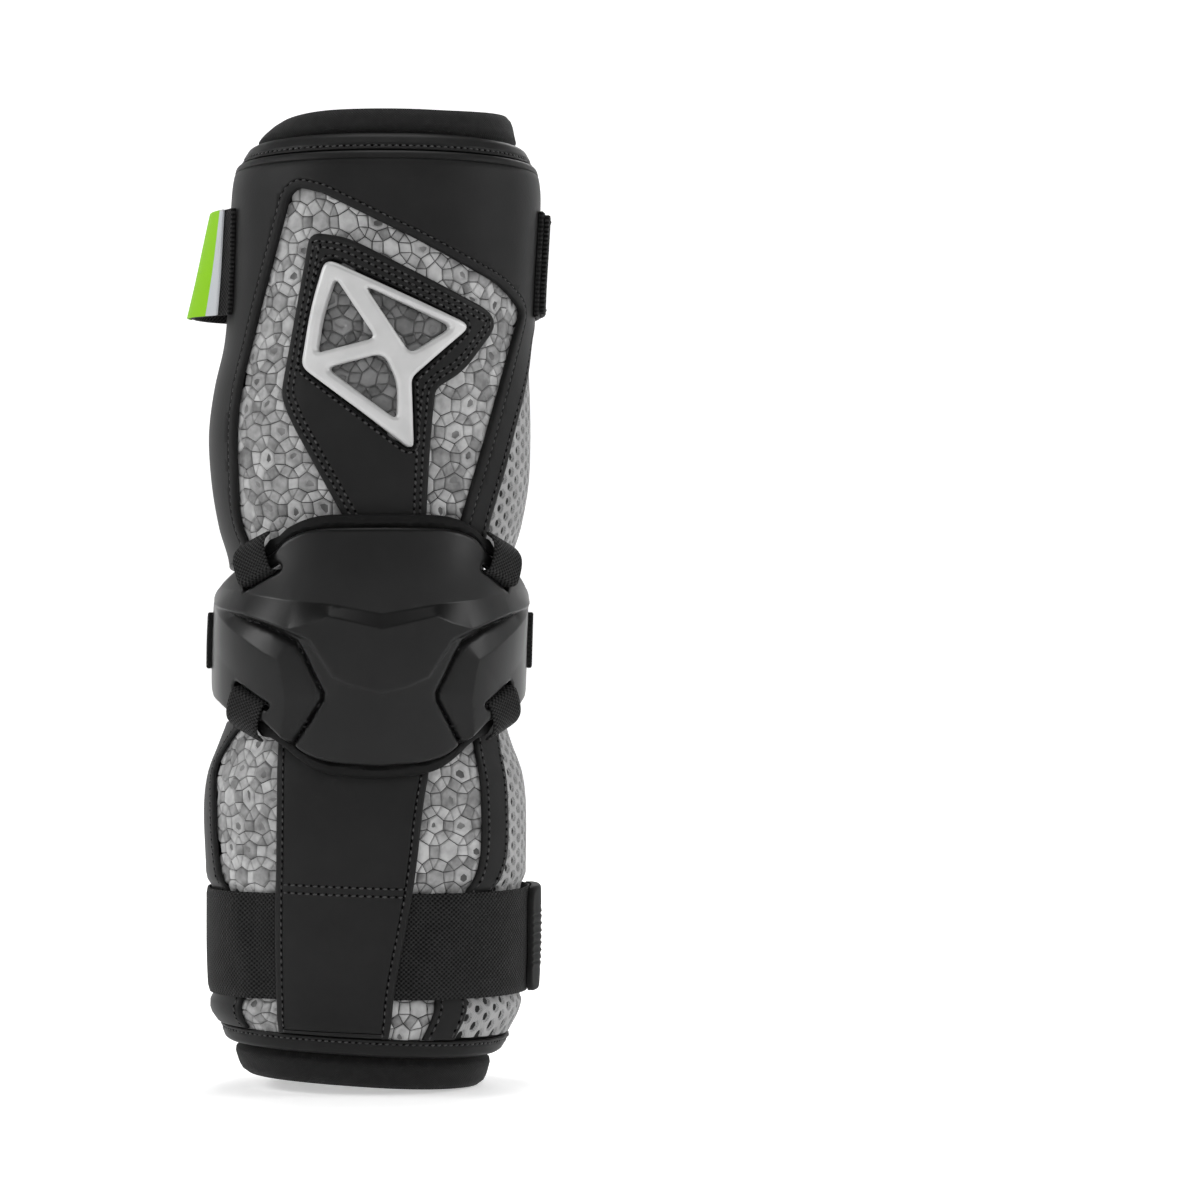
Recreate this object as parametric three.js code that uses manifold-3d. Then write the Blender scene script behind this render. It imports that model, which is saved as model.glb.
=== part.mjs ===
// A lacrosse arm pad: a padded sleeve with an upper-arm guard, an elbow cap and a forearm guard.
// Millimetres, +Z up. The origin is on the arm's axis at the elbow, and -Y is the outside of the
// elbow, which the cap covers. A turn is an angle round the arm: 0 at -Y, 90 at +X.
import * as THREE from 'three';
import { mergeVertices } from 'three/addons/utils/BufferGeometryUtils.js';
import Module from 'manifold-3d';

const wasm = await Module();
wasm.setup();

// Driving dimensions
const upperLength = 170;
const lowerLength = 139;
const padHalfWidth = 56.5;
const padHalfDepth = 49;
const padThickness = 8;
const linerWall = 2.7;
const linerHemTop = 17;
const linerHemFoot = 18.5;
const collarHeight = 7;
const clearance = 0.3;
const linerGap = 0.9;
const shellWall = 2.2;
const panelWall = 2;
const trimWall = 1.6;
const kiteWall = 2.4;
const ventWall = 1;
const frameWall = 3.4;
const capHalfWidth = 56.5;
const capStand = 17;
const capRise = 39.5;
const capFall = 43;
const capHalfTurn = 90;
const capTurn = 6.5;
const capWall = 2.5;
const capBaseWall = 2;
const capBaseRim = 4.7;
const slotLength = 18;
const slotWidth = 2.8;
const loopWidth = 15;
const loopWall = 1.4;
const webbingWall = 1.6;
const upperStrapWidth = 38;
const upperStrapBelowTop = 35;
const upperStrapBulge = 11;
const elbowStrapWidth = 20;
const forearmStrapWidth = 38;
const forearmStrapAboveFoot = 32;
const strapDip = 2;
const strapRamp = 7;
const labelWall = 0.8;
const waistHeight = 29;
const footTilt = 2.5;
const squareness = 2.25;
const seamGap = 0.5;

// Sizes that follow: the cap stands off the pads' face, and the straps keep to the pads' ends.
const capDepth = padHalfDepth + capStand;
const upperStrapHeight = upperLength - upperStrapBelowTop;
const forearmStrapHeight = forearmStrapAboveFoot - lowerLength;

// Cross-sections of the padded arm. at: height as a share of upperLength above the elbow and of
// lowerLength below it; wide and deep: half sizes as shares of padHalfWidth and padHalfDepth;
// shift: the middle's place along X as a share of padHalfWidth; back: along Y, of padHalfDepth.
const ARM_SECTIONS = [
  { at: -1.135, wide: 0.775, deep: 0.775, shift: -0.06, back: 0.14 },
  { at: -1.058, wide: 0.84, deep: 0.845, shift: -0.062, back: 0.125 },
  { at: -1.0, wide: 0.905, deep: 0.91, shift: -0.045, back: 0.11 },
  { at: -0.95, wide: 0.97, deep: 0.97, shift: -0.028, back: 0.1 },
  { at: -0.83, wide: 0.997, deep: 1.0, shift: -0.023, back: 0.07 },
  { at: -0.6, wide: 1.0, deep: 1.0, shift: -0.021, back: 0.033 },
  { at: -0.43, wide: 1.007, deep: 1.0, shift: -0.026, back: 0.014 },
  { at: -0.34, wide: 0.98, deep: 0.984, shift: -0.026, back: 0.006 },
  { at: -0.26, wide: 0.907, deep: 0.94, shift: -0.025, back: 0.002 },
  { at: -0.195, wide: 0.86, deep: 0.91, shift: -0.018, back: 0 },
  { at: 0, wide: 0.84, deep: 0.9, shift: -0.01, back: 0 },
  { at: 0.16, wide: 0.87, deep: 0.92, shift: 0.009, back: 0 },
  { at: 0.235, wide: 0.935, deep: 0.96, shift: 0.011, back: 0.004 },
  { at: 0.33, wide: 0.985, deep: 0.992, shift: 0.012, back: 0.012 },
  { at: 0.435, wide: 1.0, deep: 1.0, shift: 0.009, back: 0.027 },
  { at: 0.53, wide: 0.98, deep: 1.0, shift: 0.023, back: 0.041 },
  { at: 0.625, wide: 0.943, deep: 0.988, shift: 0.048, back: 0.06 },
  { at: 0.735, wide: 0.936, deep: 0.98, shift: 0.064, back: 0.085 },
  { at: 0.94, wide: 0.942, deep: 0.98, shift: 0.087, back: 0.147 },
  { at: 1.0, wide: 0.912, deep: 0.95, shift: 0.09, back: 0.167 },
  { at: 1.042, wide: 0.85, deep: 0.88, shift: 0.094, back: 0.178 },
  { at: 1.1, wide: 0.785, deep: 0.81, shift: 0.098, back: 0.195 },
];

// Outside of the sleeve's liner below the pads' own face, at the same heights, as shares of
// padThickness, so that it stays a straight tube where the pads draw in over its ends.
const LINER_FACE = [
  { at: -1.135, sink: 0 },
  { at: -1.07, sink: 0.05 },
  { at: -1.058, sink: 0.5 },
  { at: -1.0, sink: 0.88 },
  { at: -0.95, sink: 1.04 },
  { at: 0.94, sink: 1.04 },
  { at: 1.0, sink: 0.9 },
  { at: 1.042, sink: 0.42 },
  { at: 1.05, sink: 0.06 },
  { at: 1.1, sink: 0 },
];

// Cross-sections of the elbow cap's outside: at as a share of capRise above the elbow and of
// capFall below it, wide of capHalfWidth, deep of capDepth.
const CAP_SECTIONS = [
  { at: -1.2, wide: 0.955, deep: 0.85 },
  { at: -1.0, wide: 0.984, deep: 0.905 },
  { at: -0.47, wide: 0.995, deep: 0.98 },
  { at: 0, wide: 1.0, deep: 1.0 },
  { at: 0.5, wide: 0.995, deep: 0.965 },
  { at: 1.0, wide: 0.984, deep: 0.897 },
  { at: 1.25, wide: 0.965, deep: 0.87 },
];

// Outline of the cap, the same on both sides of its middle. aside: share of capHalfTurn;
// top: share of capRise; foot: share of capFall.
const CAP_EDGE = [
  { aside: 0, top: 1.0, foot: -1.0 },
  { aside: 0.17, top: 0.995, foot: -0.97 },
  { aside: 0.25, top: 0.985, foot: -0.92 },
  { aside: 0.32, top: 0.95, foot: -0.82 },
  { aside: 0.38, top: 0.88, foot: -0.71 },
  { aside: 0.43, top: 0.77, foot: -0.64 },
  { aside: 0.58, top: 0.67, foot: -0.59 },
  { aside: 0.7, top: 0.56, foot: -0.51 },
  { aside: 0.84, top: 0.44, foot: -0.46 },
  { aside: 0.95, top: 0.32, foot: -0.38 },
  { aside: 1.0, top: 0.17, foot: -0.26 },
];

// How far the soft base reaches past the cap's edge, as a share of capBaseRim, by the same aside.
const BASE_EDGE = [
  { aside: 0, reach: 1 },
  { aside: 0.36, reach: 1.05 },
  { aside: 0.46, reach: 1.4 },
  { aside: 0.53, reach: 0.2 },
  { aside: 0.6, reach: -0.4 },
  { aside: 0.72, reach: -0.4 },
];

// Relief on the cap. plate, boss and wing: heights above its plain face as shares of capWall.
// The rest are places on it, as shares of capHalfTurn sideways and of capRise or capFall upward.
const CAP_RELIEF = {
  plate: 0.5,
  plateFoot: 0.1,
  plateFootAside: 0.42,
  plateSlope: 0.12,
  boss: 0.65,
  bossSide: 0.26,
  bossTaper: 0.18,
  bossFoot: 0.32,
  bossSlope: 0.06,
  wing: 0.7,
  wingMiddle: 0.4,
  wingInner: 0.2,
  wingFlare: 0.6,
  wingWidth: 0.3,
};

// Turns of the seams and edges, in degrees, by height as a share of upperLength.
const UPPER_EDGES = [
  { at: 0.1, seam: 42, strip: 50 },
  { at: 0.25, seam: 45, strip: 52 },
  { at: 0.37, seam: 51, strip: 58 },
  { at: 0.47, seam: 56, strip: 65 },
  { at: 0.57, seam: 64, strip: 75 },
  { at: 0.64, seam: 70, strip: 84 },
  { at: 0.67, seam: 73, strip: 108 },
  { at: 1.0, seam: 76, strip: 108 },
];

// The same for the forearm, by height as a share of lowerLength. The panel runs up the middle,
// the trim strip lies to its right and the side panel to its left.
const LOWER_EDGES = [
  { at: -1.02, panelLeft: -35, panelRight: 13, trimLeft: 27, trimRight: 41, side: -51 },
  { at: -0.9, panelLeft: -34, panelRight: 13, trimLeft: 31, trimRight: 44, side: -53 },
  { at: -0.64, panelLeft: -34, panelRight: 20, trimLeft: 43, trimRight: 55, side: -61 },
  { at: -0.55, panelLeft: -33.5, panelRight: 22, trimLeft: 48, trimRight: 61, side: -65 },
  { at: -0.4, panelLeft: -33, panelRight: 25, trimLeft: 49, trimRight: 62, side: -67 },
  { at: -0.31, panelLeft: -34, panelRight: 28, trimLeft: 49, trimRight: 63, side: -71 },
  { at: -0.23, panelLeft: -36, panelRight: 31, trimLeft: 50, trimRight: 66, side: -62 },
  { at: -0.19, panelLeft: -37, panelRight: 33, trimLeft: 51, trimRight: 67, side: -52 },
];

// Turns of other edges, in degrees: the pads' and their covers' back edges, where the collars have
// come down to the bare sleeve, the kite's patch, and the ends of straps, tabs and label.
const padBack = { left: -112, right: 118 };
const coverBack = { left: -108, right: 104 };
const bareBack = 165;
const kiteTurns = { left: -50, right: 62 };
const forearmTabTurns = { from: 78, to: 112 };
const upperStrapTurns = { from: 80, to: 292 };
const upperTabTurns = { from: 82, to: 122 };
const labelTurns = { from: 262, to: 286 };
const elbowStrapTurns = { from: 80, to: 280 };

// The upper strap stands off the sleeve on the left: the turns between which it rises and falls,
// and its shares of upperStrapBulge at the strap's upper and lower edges.
const BULGE = { starts: 68, full: 92, eases: 100, ends: 150, above: 0.45, below: 1.1 };

// Numbers of flat faces round each piece.
const FACES = {
  sleeve: 20,
  pad: 18,
  lowerPad: 16,
  sidePad: 7,
  shell: 22,
  kite: 10,
  cap: 24,
  capRows: 10,
  base: 18,
  baseRows: 5,
  trim: 3,
  panel: 7,
  forearmStrap: 40,
  upperStrap: 34,
  elbowStrap: 24,
  tab: 6,
  label: 4,
};

// Outlines seen from the front. across: share of padHalfWidth; up: share of upperLength;
// round: corner radius in millimetres.
const WINDOW_OUTLINE = [
  { across: -0.47, up: 0.915, round: 3 },
  { across: -0.41, up: 0.932, round: 5 },
  { across: -0.26, up: 0.919, round: 0 },
  { across: 0.275, up: 0.834, round: 0 },
  { across: 0.82, up: 0.738, round: 8 },
  { across: 0.94, up: 0.69, round: 3 },
  { across: 0.75, up: 0.443, round: 20 },
  { across: 0.58, up: 0.245, round: 0 },
  { across: 0.47, up: 0.1, round: 0 },
  { across: -0.6, up: 0.1, round: 0 },
  { across: -0.79, up: 0.25, round: 6 },
  { across: -0.81, up: 0.487, round: 20 },
  { across: -0.656, up: 0.69, round: 0 },
];

const KITE_OUTLINE = [
  { across: -0.33, up: 0.842, round: 4 },
  { across: -0.11, up: 0.832, round: 12 },
  { across: 0.82, up: 0.67, round: 9 },
  { across: 0.59, up: 0.556, round: 10 },
  { across: 0.42, up: 0.518, round: 3 },
  { across: 0.39, up: 0.4, round: 10 },
  { across: 0.36, up: 0.2, round: 0 },
  { across: -0.037, up: 0.2, round: 0 },
  { across: -0.44, up: 0.45, round: 8 },
  { across: -0.505, up: 0.505, round: 6 },
];

const FRAME_OUTLINE = [
  { across: -0.222, up: 0.787, round: 4 },
  { across: 0.614, up: 0.65, round: 4 },
  { across: 0.272, up: 0.54, round: 0 },
  { across: 0.285, up: 0.39, round: 3.5 },
  { across: -0.362, up: 0.563, round: 3 },
  { across: -0.306, up: 0.686, round: 20 },
];

const VENT_LEFT = [
  { across: -0.165, up: 0.748, round: 2 },
  { across: 0.068, up: 0.622, round: 2 },
  { across: -0.278, up: 0.59, round: 1.5 },
];

const VENT_RIGHT = [
  { across: 0.008, up: 0.729, round: 2 },
  { across: 0.52, up: 0.646, round: 3 },
  { across: 0.265, up: 0.589, round: 2 },
];

const VENT_LOW = [
  { across: -0.22, up: 0.56, round: 2 },
  { across: 0.115, up: 0.591, round: 3 },
  { across: 0.195, up: 0.53, round: 3 },
  { across: 0.192, up: 0.452, round: 2 },
];

const LOOK = {
  stretch: { color: 0x232323, roughness: 0.9, metalness: 0 },
  panel: { color: 0x292929, roughness: 0.7, metalness: 0 },
  cells: { color: 0xb0b0b0, roughness: 0.65, metalness: 0 },
  mesh: { color: 0xa3a3a3, roughness: 0.8, metalness: 0 },
  smoke: { color: 0x6c6c6c, roughness: 0.5, metalness: 0 },
  frame: { color: 0xc8c8c8, roughness: 0.45, metalness: 0 },
  cap: { color: 0x2a2a2a, roughness: 0.45, metalness: 0 },
  base: { color: 0x262626, roughness: 0.75, metalness: 0 },
  webbing: { color: 0x1e1e1e, roughness: 0.95, metalness: 0 },
  label: { color: 0x6fbf1f, roughness: 0.7, metalness: 0 },
};

const smoothStep = THREE.MathUtils.smoothstep;
const lerp = THREE.MathUtils.lerp;

// A smooth curve through one column of a table whose rows are sorted by another column.
function along(rows, key, place, column) {
  const last = rows.length - 1;
  let low = 0;
  while (low < last - 1 && rows[low + 1][key] < place) low += 1;
  const slope = (row) => {
    const before = rows[Math.max(row - 1, 0)];
    const after = rows[Math.min(row + 1, last)];
    return (after[column] - before[column]) / (after[key] - before[key]);
  };
  const span = rows[low + 1][key] - rows[low][key];
  const t = THREE.MathUtils.clamp((place - rows[low][key]) / span, 0, 1);
  const bend = t * t * (3 - 2 * t);
  const ease = t * (1 - t);
  return lerp(rows[low][column], rows[low + 1][column], bend)
    + span * ease * ((1 - t) * slope(low) - t * slope(low + 1));
}

// Straight lines through the column instead, for edges with corners.
function straight(rows, key, place, column) {
  let low = 0;
  while (low < rows.length - 2 && rows[low + 1][key] < place) low += 1;
  const span = rows[low + 1][key] - rows[low][key];
  const t = THREE.MathUtils.clamp((place - rows[low][key]) / span, 0, 1);
  return lerp(rows[low][column], rows[low + 1][column], t);
}

const armShare = (height) => height / (height > 0 ? upperLength : lowerLength);
const capShare = (height) => height / (height > 0 ? capRise : capFall);

function ovalRadius(turn, halfWidth, halfDepth) {
  const side = Math.abs(Math.sin(turn)) / halfWidth;
  const front = Math.abs(Math.cos(turn)) / halfDepth;
  return (side ** squareness + front ** squareness) ** (-1 / squareness);
}

function middle(height) {
  const at = armShare(height);
  return {
    x: padHalfWidth * straight(ARM_SECTIONS, 'at', at, 'shift'),
    y: padHalfDepth * straight(ARM_SECTIONS, 'at', at, 'back'),
  };
}

function armRadius(degrees, height) {
  const at = armShare(height);
  const wide = padHalfWidth * straight(ARM_SECTIONS, 'at', at, 'wide');
  const deep = padHalfDepth * straight(ARM_SECTIONS, 'at', at, 'deep');
  return ovalRadius(THREE.MathUtils.degToRad(degrees), wide, deep);
}

function capRadius(degrees, height) {
  const at = capShare(height);
  const wide = capHalfWidth * along(CAP_SECTIONS, 'at', at, 'wide');
  const deep = capDepth * along(CAP_SECTIONS, 'at', at, 'deep');
  return ovalRadius(THREE.MathUtils.degToRad(degrees), wide, deep);
}

// A point by its turn, height and radius. From footStart down, the pad hangs lower on the right.
const footStart = 0.95;

function pointAt(degrees, height, radius) {
  const turn = THREE.MathUtils.degToRad(degrees);
  const centre = middle(height);
  const share = THREE.MathUtils.clamp((-armShare(height) - footStart) / (1 - footStart), 0, 1);
  const tilt = footTilt * Math.sin(turn) * share;
  return [centre.x + radius * Math.sin(turn), centre.y - radius * Math.cos(turn), height - tilt];
}

// A closed wall whose inside and outside radii are given at each turn and height. place(u, v)
// names the turn and height; a ring joins its last column to its first.
function wall({ place, inside, outside, columns, rows, ring = false }) {
  const across = ring ? columns : columns + 1;
  const positions = [];
  for (const radius of [inside, outside]) {
    for (let row = 0; row <= rows; row += 1) {
      for (let column = 0; column < across; column += 1) {
        const [degrees, height] = place(column / columns, row / rows);
        positions.push(...pointAt(degrees, height, radius(degrees, height)));
      }
    }
  }
  const layer = across * (rows + 1);
  const index = [];
  const quad = (a, b, c, d) => index.push(a, b, c, a, c, d);
  const spot = (side, row, column) => side * layer + row * across + (column % across);
  for (let row = 0; row < rows; row += 1) {
    for (let column = 0; column < columns; column += 1) {
      quad(spot(1, row, column), spot(1, row, column + 1),
        spot(1, row + 1, column + 1), spot(1, row + 1, column));
      quad(spot(0, row, column), spot(0, row + 1, column),
        spot(0, row + 1, column + 1), spot(0, row, column + 1));
    }
  }
  for (let column = 0; column < columns; column += 1) {
    quad(spot(0, 0, column), spot(0, 0, column + 1), spot(1, 0, column + 1), spot(1, 0, column));
    quad(spot(0, rows, column), spot(1, rows, column),
      spot(1, rows, column + 1), spot(0, rows, column + 1));
  }
  for (let row = 0; !ring && row < rows; row += 1) {
    quad(spot(0, row, 0), spot(1, row, 0), spot(1, row + 1, 0), spot(0, row + 1, 0));
    quad(spot(0, row, columns), spot(0, row + 1, columns),
      spot(1, row + 1, columns), spot(1, row, columns));
  }
  const geometry = new THREE.BufferGeometry();
  geometry.setAttribute('position', new THREE.Float32BufferAttribute(positions, 3));
  geometry.setIndex(index);
  return geometry;
}

function toSolid(geometry) {
  const bare = geometry.clone();
  bare.deleteAttribute('normal');
  bare.deleteAttribute('uv');
  const merged = mergeVertices(bare, 1e-4);
  const vertProperties = new Float32Array(merged.attributes.position.array);
  const triVerts = new Uint32Array(merged.index.array);
  return new wasm.Manifold(new wasm.Mesh({ numProp: 3, vertProperties, triVerts }));
}

function toGeometry(solid) {
  const mesh = solid.getMesh();
  const geometry = new THREE.BufferGeometry();
  geometry.setAttribute('position', new THREE.BufferAttribute(mesh.vertProperties, 3));
  geometry.setIndex(new THREE.BufferAttribute(mesh.triVerts, 1));
  return geometry;
}

const group = new THREE.Group();

function addPiece(name, geometry, look) {
  const mesh = new THREE.Mesh(geometry, new THREE.MeshStandardMaterial(look));
  mesh.name = name;
  group.add(mesh);
}

// Outline rows turned to millimetres in the front view, grown outward by a margin.
function outlinePoints(rows, margin = 0) {
  const corners = rows.map((row) => new THREE.Vector2(row.across * padHalfWidth, row.up * upperLength));
  const clockwise = THREE.ShapeUtils.isClockWise(corners);
  return corners.map((corner, i) => {
    const before = corners[(i + corners.length - 1) % corners.length];
    const after = corners[(i + 1) % corners.length];
    const lead = corner.clone().sub(before).normalize();
    const trail = after.clone().sub(corner).normalize();
    const outward = (edge) => new THREE.Vector2(edge.y, -edge.x).multiplyScalar(clockwise ? -1 : 1);
    const miter = outward(lead).add(outward(trail)).normalize();
    const reach = margin / Math.max(miter.dot(outward(lead)), 0.5);
    return { point: corner.clone().addScaledVector(miter, reach), round: rows[i].round };
  });
}

// A prism along Y over an outline with rounded corners.
function frontPrism(rows, margin = 0, front = -2 * capDepth, back = 0) {
  const corners = outlinePoints(rows, margin);
  const shape = new THREE.Shape();
  corners.forEach(({ point, round }, i) => {
    const before = corners[(i + corners.length - 1) % corners.length].point;
    const after = corners[(i + 1) % corners.length].point;
    const nearest = Math.min(before.distanceTo(point), after.distanceTo(point));
    const length = Math.min(round, 0.45 * nearest);
    const into = before.clone().sub(point).setLength(length).add(point);
    const out = after.clone().sub(point).setLength(length).add(point);
    if (i === 0) shape.moveTo(into.x, into.y);
    else shape.lineTo(into.x, into.y);
    if (round > 0) shape.quadraticCurveTo(point.x, point.y, out.x, out.y);
  });
  shape.closePath();
  const geometry = new THREE.ExtrudeGeometry(shape, {
    depth: back - front, bevelEnabled: false, curveSegments: 2,
  });
  geometry.rotateX(Math.PI / 2);
  geometry.translate(0, back, 0);
  return toSolid(geometry);
}

// How much the forearm strap squeezes the pad at a height.
function squeeze(height) {
  const off = Math.abs(height - forearmStrapHeight) - forearmStrapWidth / 2;
  return strapDip * (1 - smoothStep(off, 0, strapDip * 2));
}

const padFace = (degrees, height) => armRadius(degrees, height) - squeeze(height);
const linerFace = (degrees, height) => armRadius(degrees, height)
  - padThickness * straight(LINER_FACE, 'at', armShare(height), 'sink') - linerGap;
const above = (radius, lift) => (degrees, height) => radius(degrees, height) + lift;
const upperEdge = (column) => (height) => straight(UPPER_EDGES, 'at', height / upperLength, column);
const lowerEdge = (column) => (height) => along(LOWER_EDGES, 'at', height / lowerLength, column);

const fromFront = (degrees) => (degrees > 180 ? degrees - 360 : degrees);

// Share of the way from the pads' face down to the bare sleeve at the back of the arm.
const behind = (degrees) => smoothStep(Math.abs(fromFront(degrees)), padBack.right, bareBack);

// Heights at which every wall between two heights has a row of corners, so that walls that lie
// on each other bend together.
const realHeight = (at) => at * (at > 0 ? upperLength : lowerLength);
const sectionLevels = ARM_SECTIONS.map((row) => realHeight(row.at));
const linerLevels = LINER_FACE.map((row) => realHeight(row.at));
const strapLevels = [-1, 1].flatMap((side) => [0, 2 * strapDip].map(
  (step) => forearmStrapHeight + side * (forearmStrapWidth / 2 + step),
));

const endSpacing = 0.8;
const leastSpacing = 0.24;

function levelsBetween(foot, top, spots) {
  const inner = spots.filter((spot) => spot > foot + endSpacing && spot < top - endSpacing);
  const sorted = [...inner, foot, top].sort((a, b) => a - b);
  const last = sorted.length - 1;
  return sorted.filter((spot, i) => i === 0 || i === last || spot - sorted[i - 1] > leastSpacing);
}

// The place, the number of rows and the levels of a patch whose sides are given by height.
function patch(left, right, levels) {
  const rows = levels.length - 1;
  const place = (u, v) => {
    const level = levels[Math.round(v * rows)];
    const from = typeof left === 'function' ? left(level) : left;
    const to = typeof right === 'function' ? right(level) : right;
    return [lerp(from, to, u), level];
  };
  return { place, rows };
}

function sleeveRing(levels, inside, outside) {
  return wall({ ...patch(0, 360, levels), inside, outside, columns: FACES.sleeve, ring: true });
}

// The sleeve's bore keeps its size past this share of the length on either side of the elbow.
const boreShare = 0.94;

// The sleeve is sewn from three tubes: one under each pad and one round the elbow.
function buildLiner() {
  const top = upperLength + linerHemTop;
  const foot = -lowerLength - linerHemFoot;
  const roundOff = linerWall / 2;
  const spots = [...sectionLevels, ...linerLevels, foot + roundOff, top - roundOff];
  const rim = (height) => (height === top || height === foot ? roundOff : 0);
  const bore = (degrees, height) => {
    const inner = THREE.MathUtils.clamp(height, -lowerLength * boreShare, upperLength * boreShare);
    const straightWall = armRadius(degrees, inner) - padThickness - linerGap;
    return Math.min(linerFace(degrees, height), straightWall) - linerWall;
  };
  const face = (degrees, height) => linerFace(degrees, height) - rim(height);
  const tubes = [
    { name: 'sleeve_lower', from: foot, to: -waistHeight - clearance },
    { name: 'sleeve_elbow', from: -waistHeight, to: waistHeight },
    { name: 'sleeve_upper', from: waistHeight + clearance, to: top },
  ];
  tubes.forEach(({ name, from, to }) => {
    addPiece(name, sleeveRing(levelsBetween(from, to, spots), bore, face), LOOK.stretch);
  });
}

function buildCollars() {
  const backFace = above(linerFace, linerGap);
  const top = upperLength + collarHeight;
  const foot = -lowerLength - collarHeight;
  const face = (degrees, height) => lerp(
    armRadius(degrees, height),
    linerFace(degrees, height) + linerGap + panelWall,
    behind(degrees),
  );
  const rounded = (degrees, height) => face(degrees, height) - (height === top ? panelWall / 2 : 0);
  const topLevels = [upperLength + clearance, top - panelWall / 2, top];
  addPiece('top_collar', sleeveRing(topLevels, backFace, rounded), LOOK.panel);
  const footLevels = [foot, foot + collarHeight / 2, -lowerLength - clearance];
  addPiece('bottom_collar', sleeveRing(footLevels, backFace, face), LOOK.panel);
}

// A sheet that lies on the pads' face, before it is cut to its outline.
function sheet({ sides, levels, wallThickness, columns, face = armRadius }) {
  return toSolid(wall({
    ...patch(sides[0], sides[1], levels),
    inside: above(face, clearance),
    outside: above(face, clearance + wallThickness),
    columns,
  }));
}

// What is cut away from a sheet between two edges, deep enough to pass through it.
function offcut(left, right, levels) {
  const depth = padThickness / 2;
  return toSolid(wall({
    ...patch(left, right, levels),
    inside: above(armRadius, -depth),
    outside: above(armRadius, depth),
    columns: FACES.tab,
  }));
}

function buildUpperGuard() {
  const seam = upperEdge('seam');
  const backFace = above(linerFace, linerGap);
  const levels = levelsBetween(waistHeight, upperLength, [...sectionLevels, ...linerLevels]);
  addPiece('upper_pad', wall({
    ...patch(padBack.left, seam, levels),
    inside: backFace,
    outside: armRadius,
    columns: FACES.pad,
  }), LOOK.cells);
  addPiece('upper_side_pad', wall({
    ...patch((height) => seam(height) + seamGap, padBack.right, levels),
    inside: backFace,
    outside: armRadius,
    columns: FACES.sidePad,
  }), LOOK.mesh);

  const edgeLevels = UPPER_EDGES.map((row) => row.at * upperLength).slice(0, -1);
  const shell = sheet({
    sides: [coverBack.left, coverBack.right],
    levels: levelsBetween(waistHeight, upperLength, sectionLevels),
    wallThickness: shellWall,
    columns: FACES.shell,
  });
  const behindStrip = offcut(upperEdge('strip'), padBack.right, edgeLevels);
  const windowed = shell.subtract(frontPrism(WINDOW_OUTLINE));
  addPiece('upper_shell', toGeometry(windowed.subtract(behindStrip)), LOOK.panel);
}

function buildKite() {
  const levels = levelsBetween(waistHeight, upperLength, sectionLevels);
  const layer = (low, high) => toSolid(wall({
    ...patch(kiteTurns.left, kiteTurns.right, levels),
    inside: above(armRadius, low),
    outside: above(armRadius, high),
    columns: FACES.kite,
  }));
  const opening = frontPrism(FRAME_OUTLINE, clearance);
  const kite = layer(clearance, clearance + kiteWall).intersect(frontPrism(KITE_OUTLINE));
  addPiece('kite_patch', toGeometry(kite.subtract(opening)), LOOK.panel);

  const footing = frontPrism(FRAME_OUTLINE);
  const ventTop = clearance + ventWall;
  addPiece('vent_backing', toGeometry(layer(clearance, ventTop).intersect(footing)), LOOK.smoke);
  const gaps = [VENT_LEFT, VENT_RIGHT, VENT_LOW].map((rows) => frontPrism(rows));
  const bars = layer(ventTop + clearance, ventTop + clearance + frameWall).intersect(footing);
  const frame = gaps.reduce((solid, gap) => solid.subtract(gap), bars);
  addPiece('vent_frame', toGeometry(frame), LOOK.frame);
}

// Raised plate, middle boss and two side wings of the cap.
function capRelief(degrees, height) {
  const relief = CAP_RELIEF;
  const aside = Math.abs(degrees - capTurn) / capHalfTurn;
  const at = capShare(height);
  const plateEdge = lerp(relief.plateFoot, relief.plateFootAside, smoothStep(aside, 0, 0.7));
  const onPlate = smoothStep(at, plateEdge, plateEdge + relief.plateSlope);
  const bossSide = relief.bossSide - relief.bossTaper * smoothStep(-at, 0, relief.bossFoot);
  const onBoss = (1 - smoothStep(aside, bossSide, bossSide + relief.bossSlope))
    * (1 - smoothStep(-at, relief.bossFoot, relief.bossFoot + 2 * relief.bossSlope)) * (1 - onPlate);
  const wingSide = relief.wingInner + relief.wingFlare * Math.abs(at + relief.wingMiddle);
  const onWing = smoothStep(aside, wingSide, wingSide + relief.bossSlope / 2)
    * (1 - smoothStep(aside, wingSide + relief.bossSlope, wingSide + relief.wingWidth))
    * smoothStep(-at, -relief.wingInner, relief.bossSlope);
  return capWall * Math.max(relief.plate * onPlate, relief.boss * onBoss, relief.wing * onWing);
}

// Turn and height over the cap, whose upper and lower edges are given by the turn.
function capPlace(sideShare, reach) {
  return (u, v) => {
    const aside = (2 * u - 1) * sideShare;
    const top = capRise * along(CAP_EDGE, 'aside', Math.abs(aside), 'top');
    const foot = capFall * along(CAP_EDGE, 'aside', Math.abs(aside), 'foot');
    const grow = reach(Math.abs(aside));
    return [capTurn + aside * capHalfTurn, lerp(foot - grow, top + grow, v)];
  };
}

// The slots lie in the cap's four shoulders: aside and at are their middles, rise is the height
// gained from the inner end to the outer one as a share of slotLength.
const SLOTS = [
  { name: 'upper_left', side: -1, aside: 0.472, at: 0.565, rise: -0.4, out: 1 },
  { name: 'upper_right', side: 1, aside: 0.472, at: 0.565, rise: -0.4, out: 1 },
  { name: 'lower_left', side: -1, aside: 0.478, at: -0.44, rise: 0.42, out: -1 },
  { name: 'lower_right', side: 1, aside: 0.478, at: -0.44, rise: 0.42, out: -1 },
];

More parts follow.
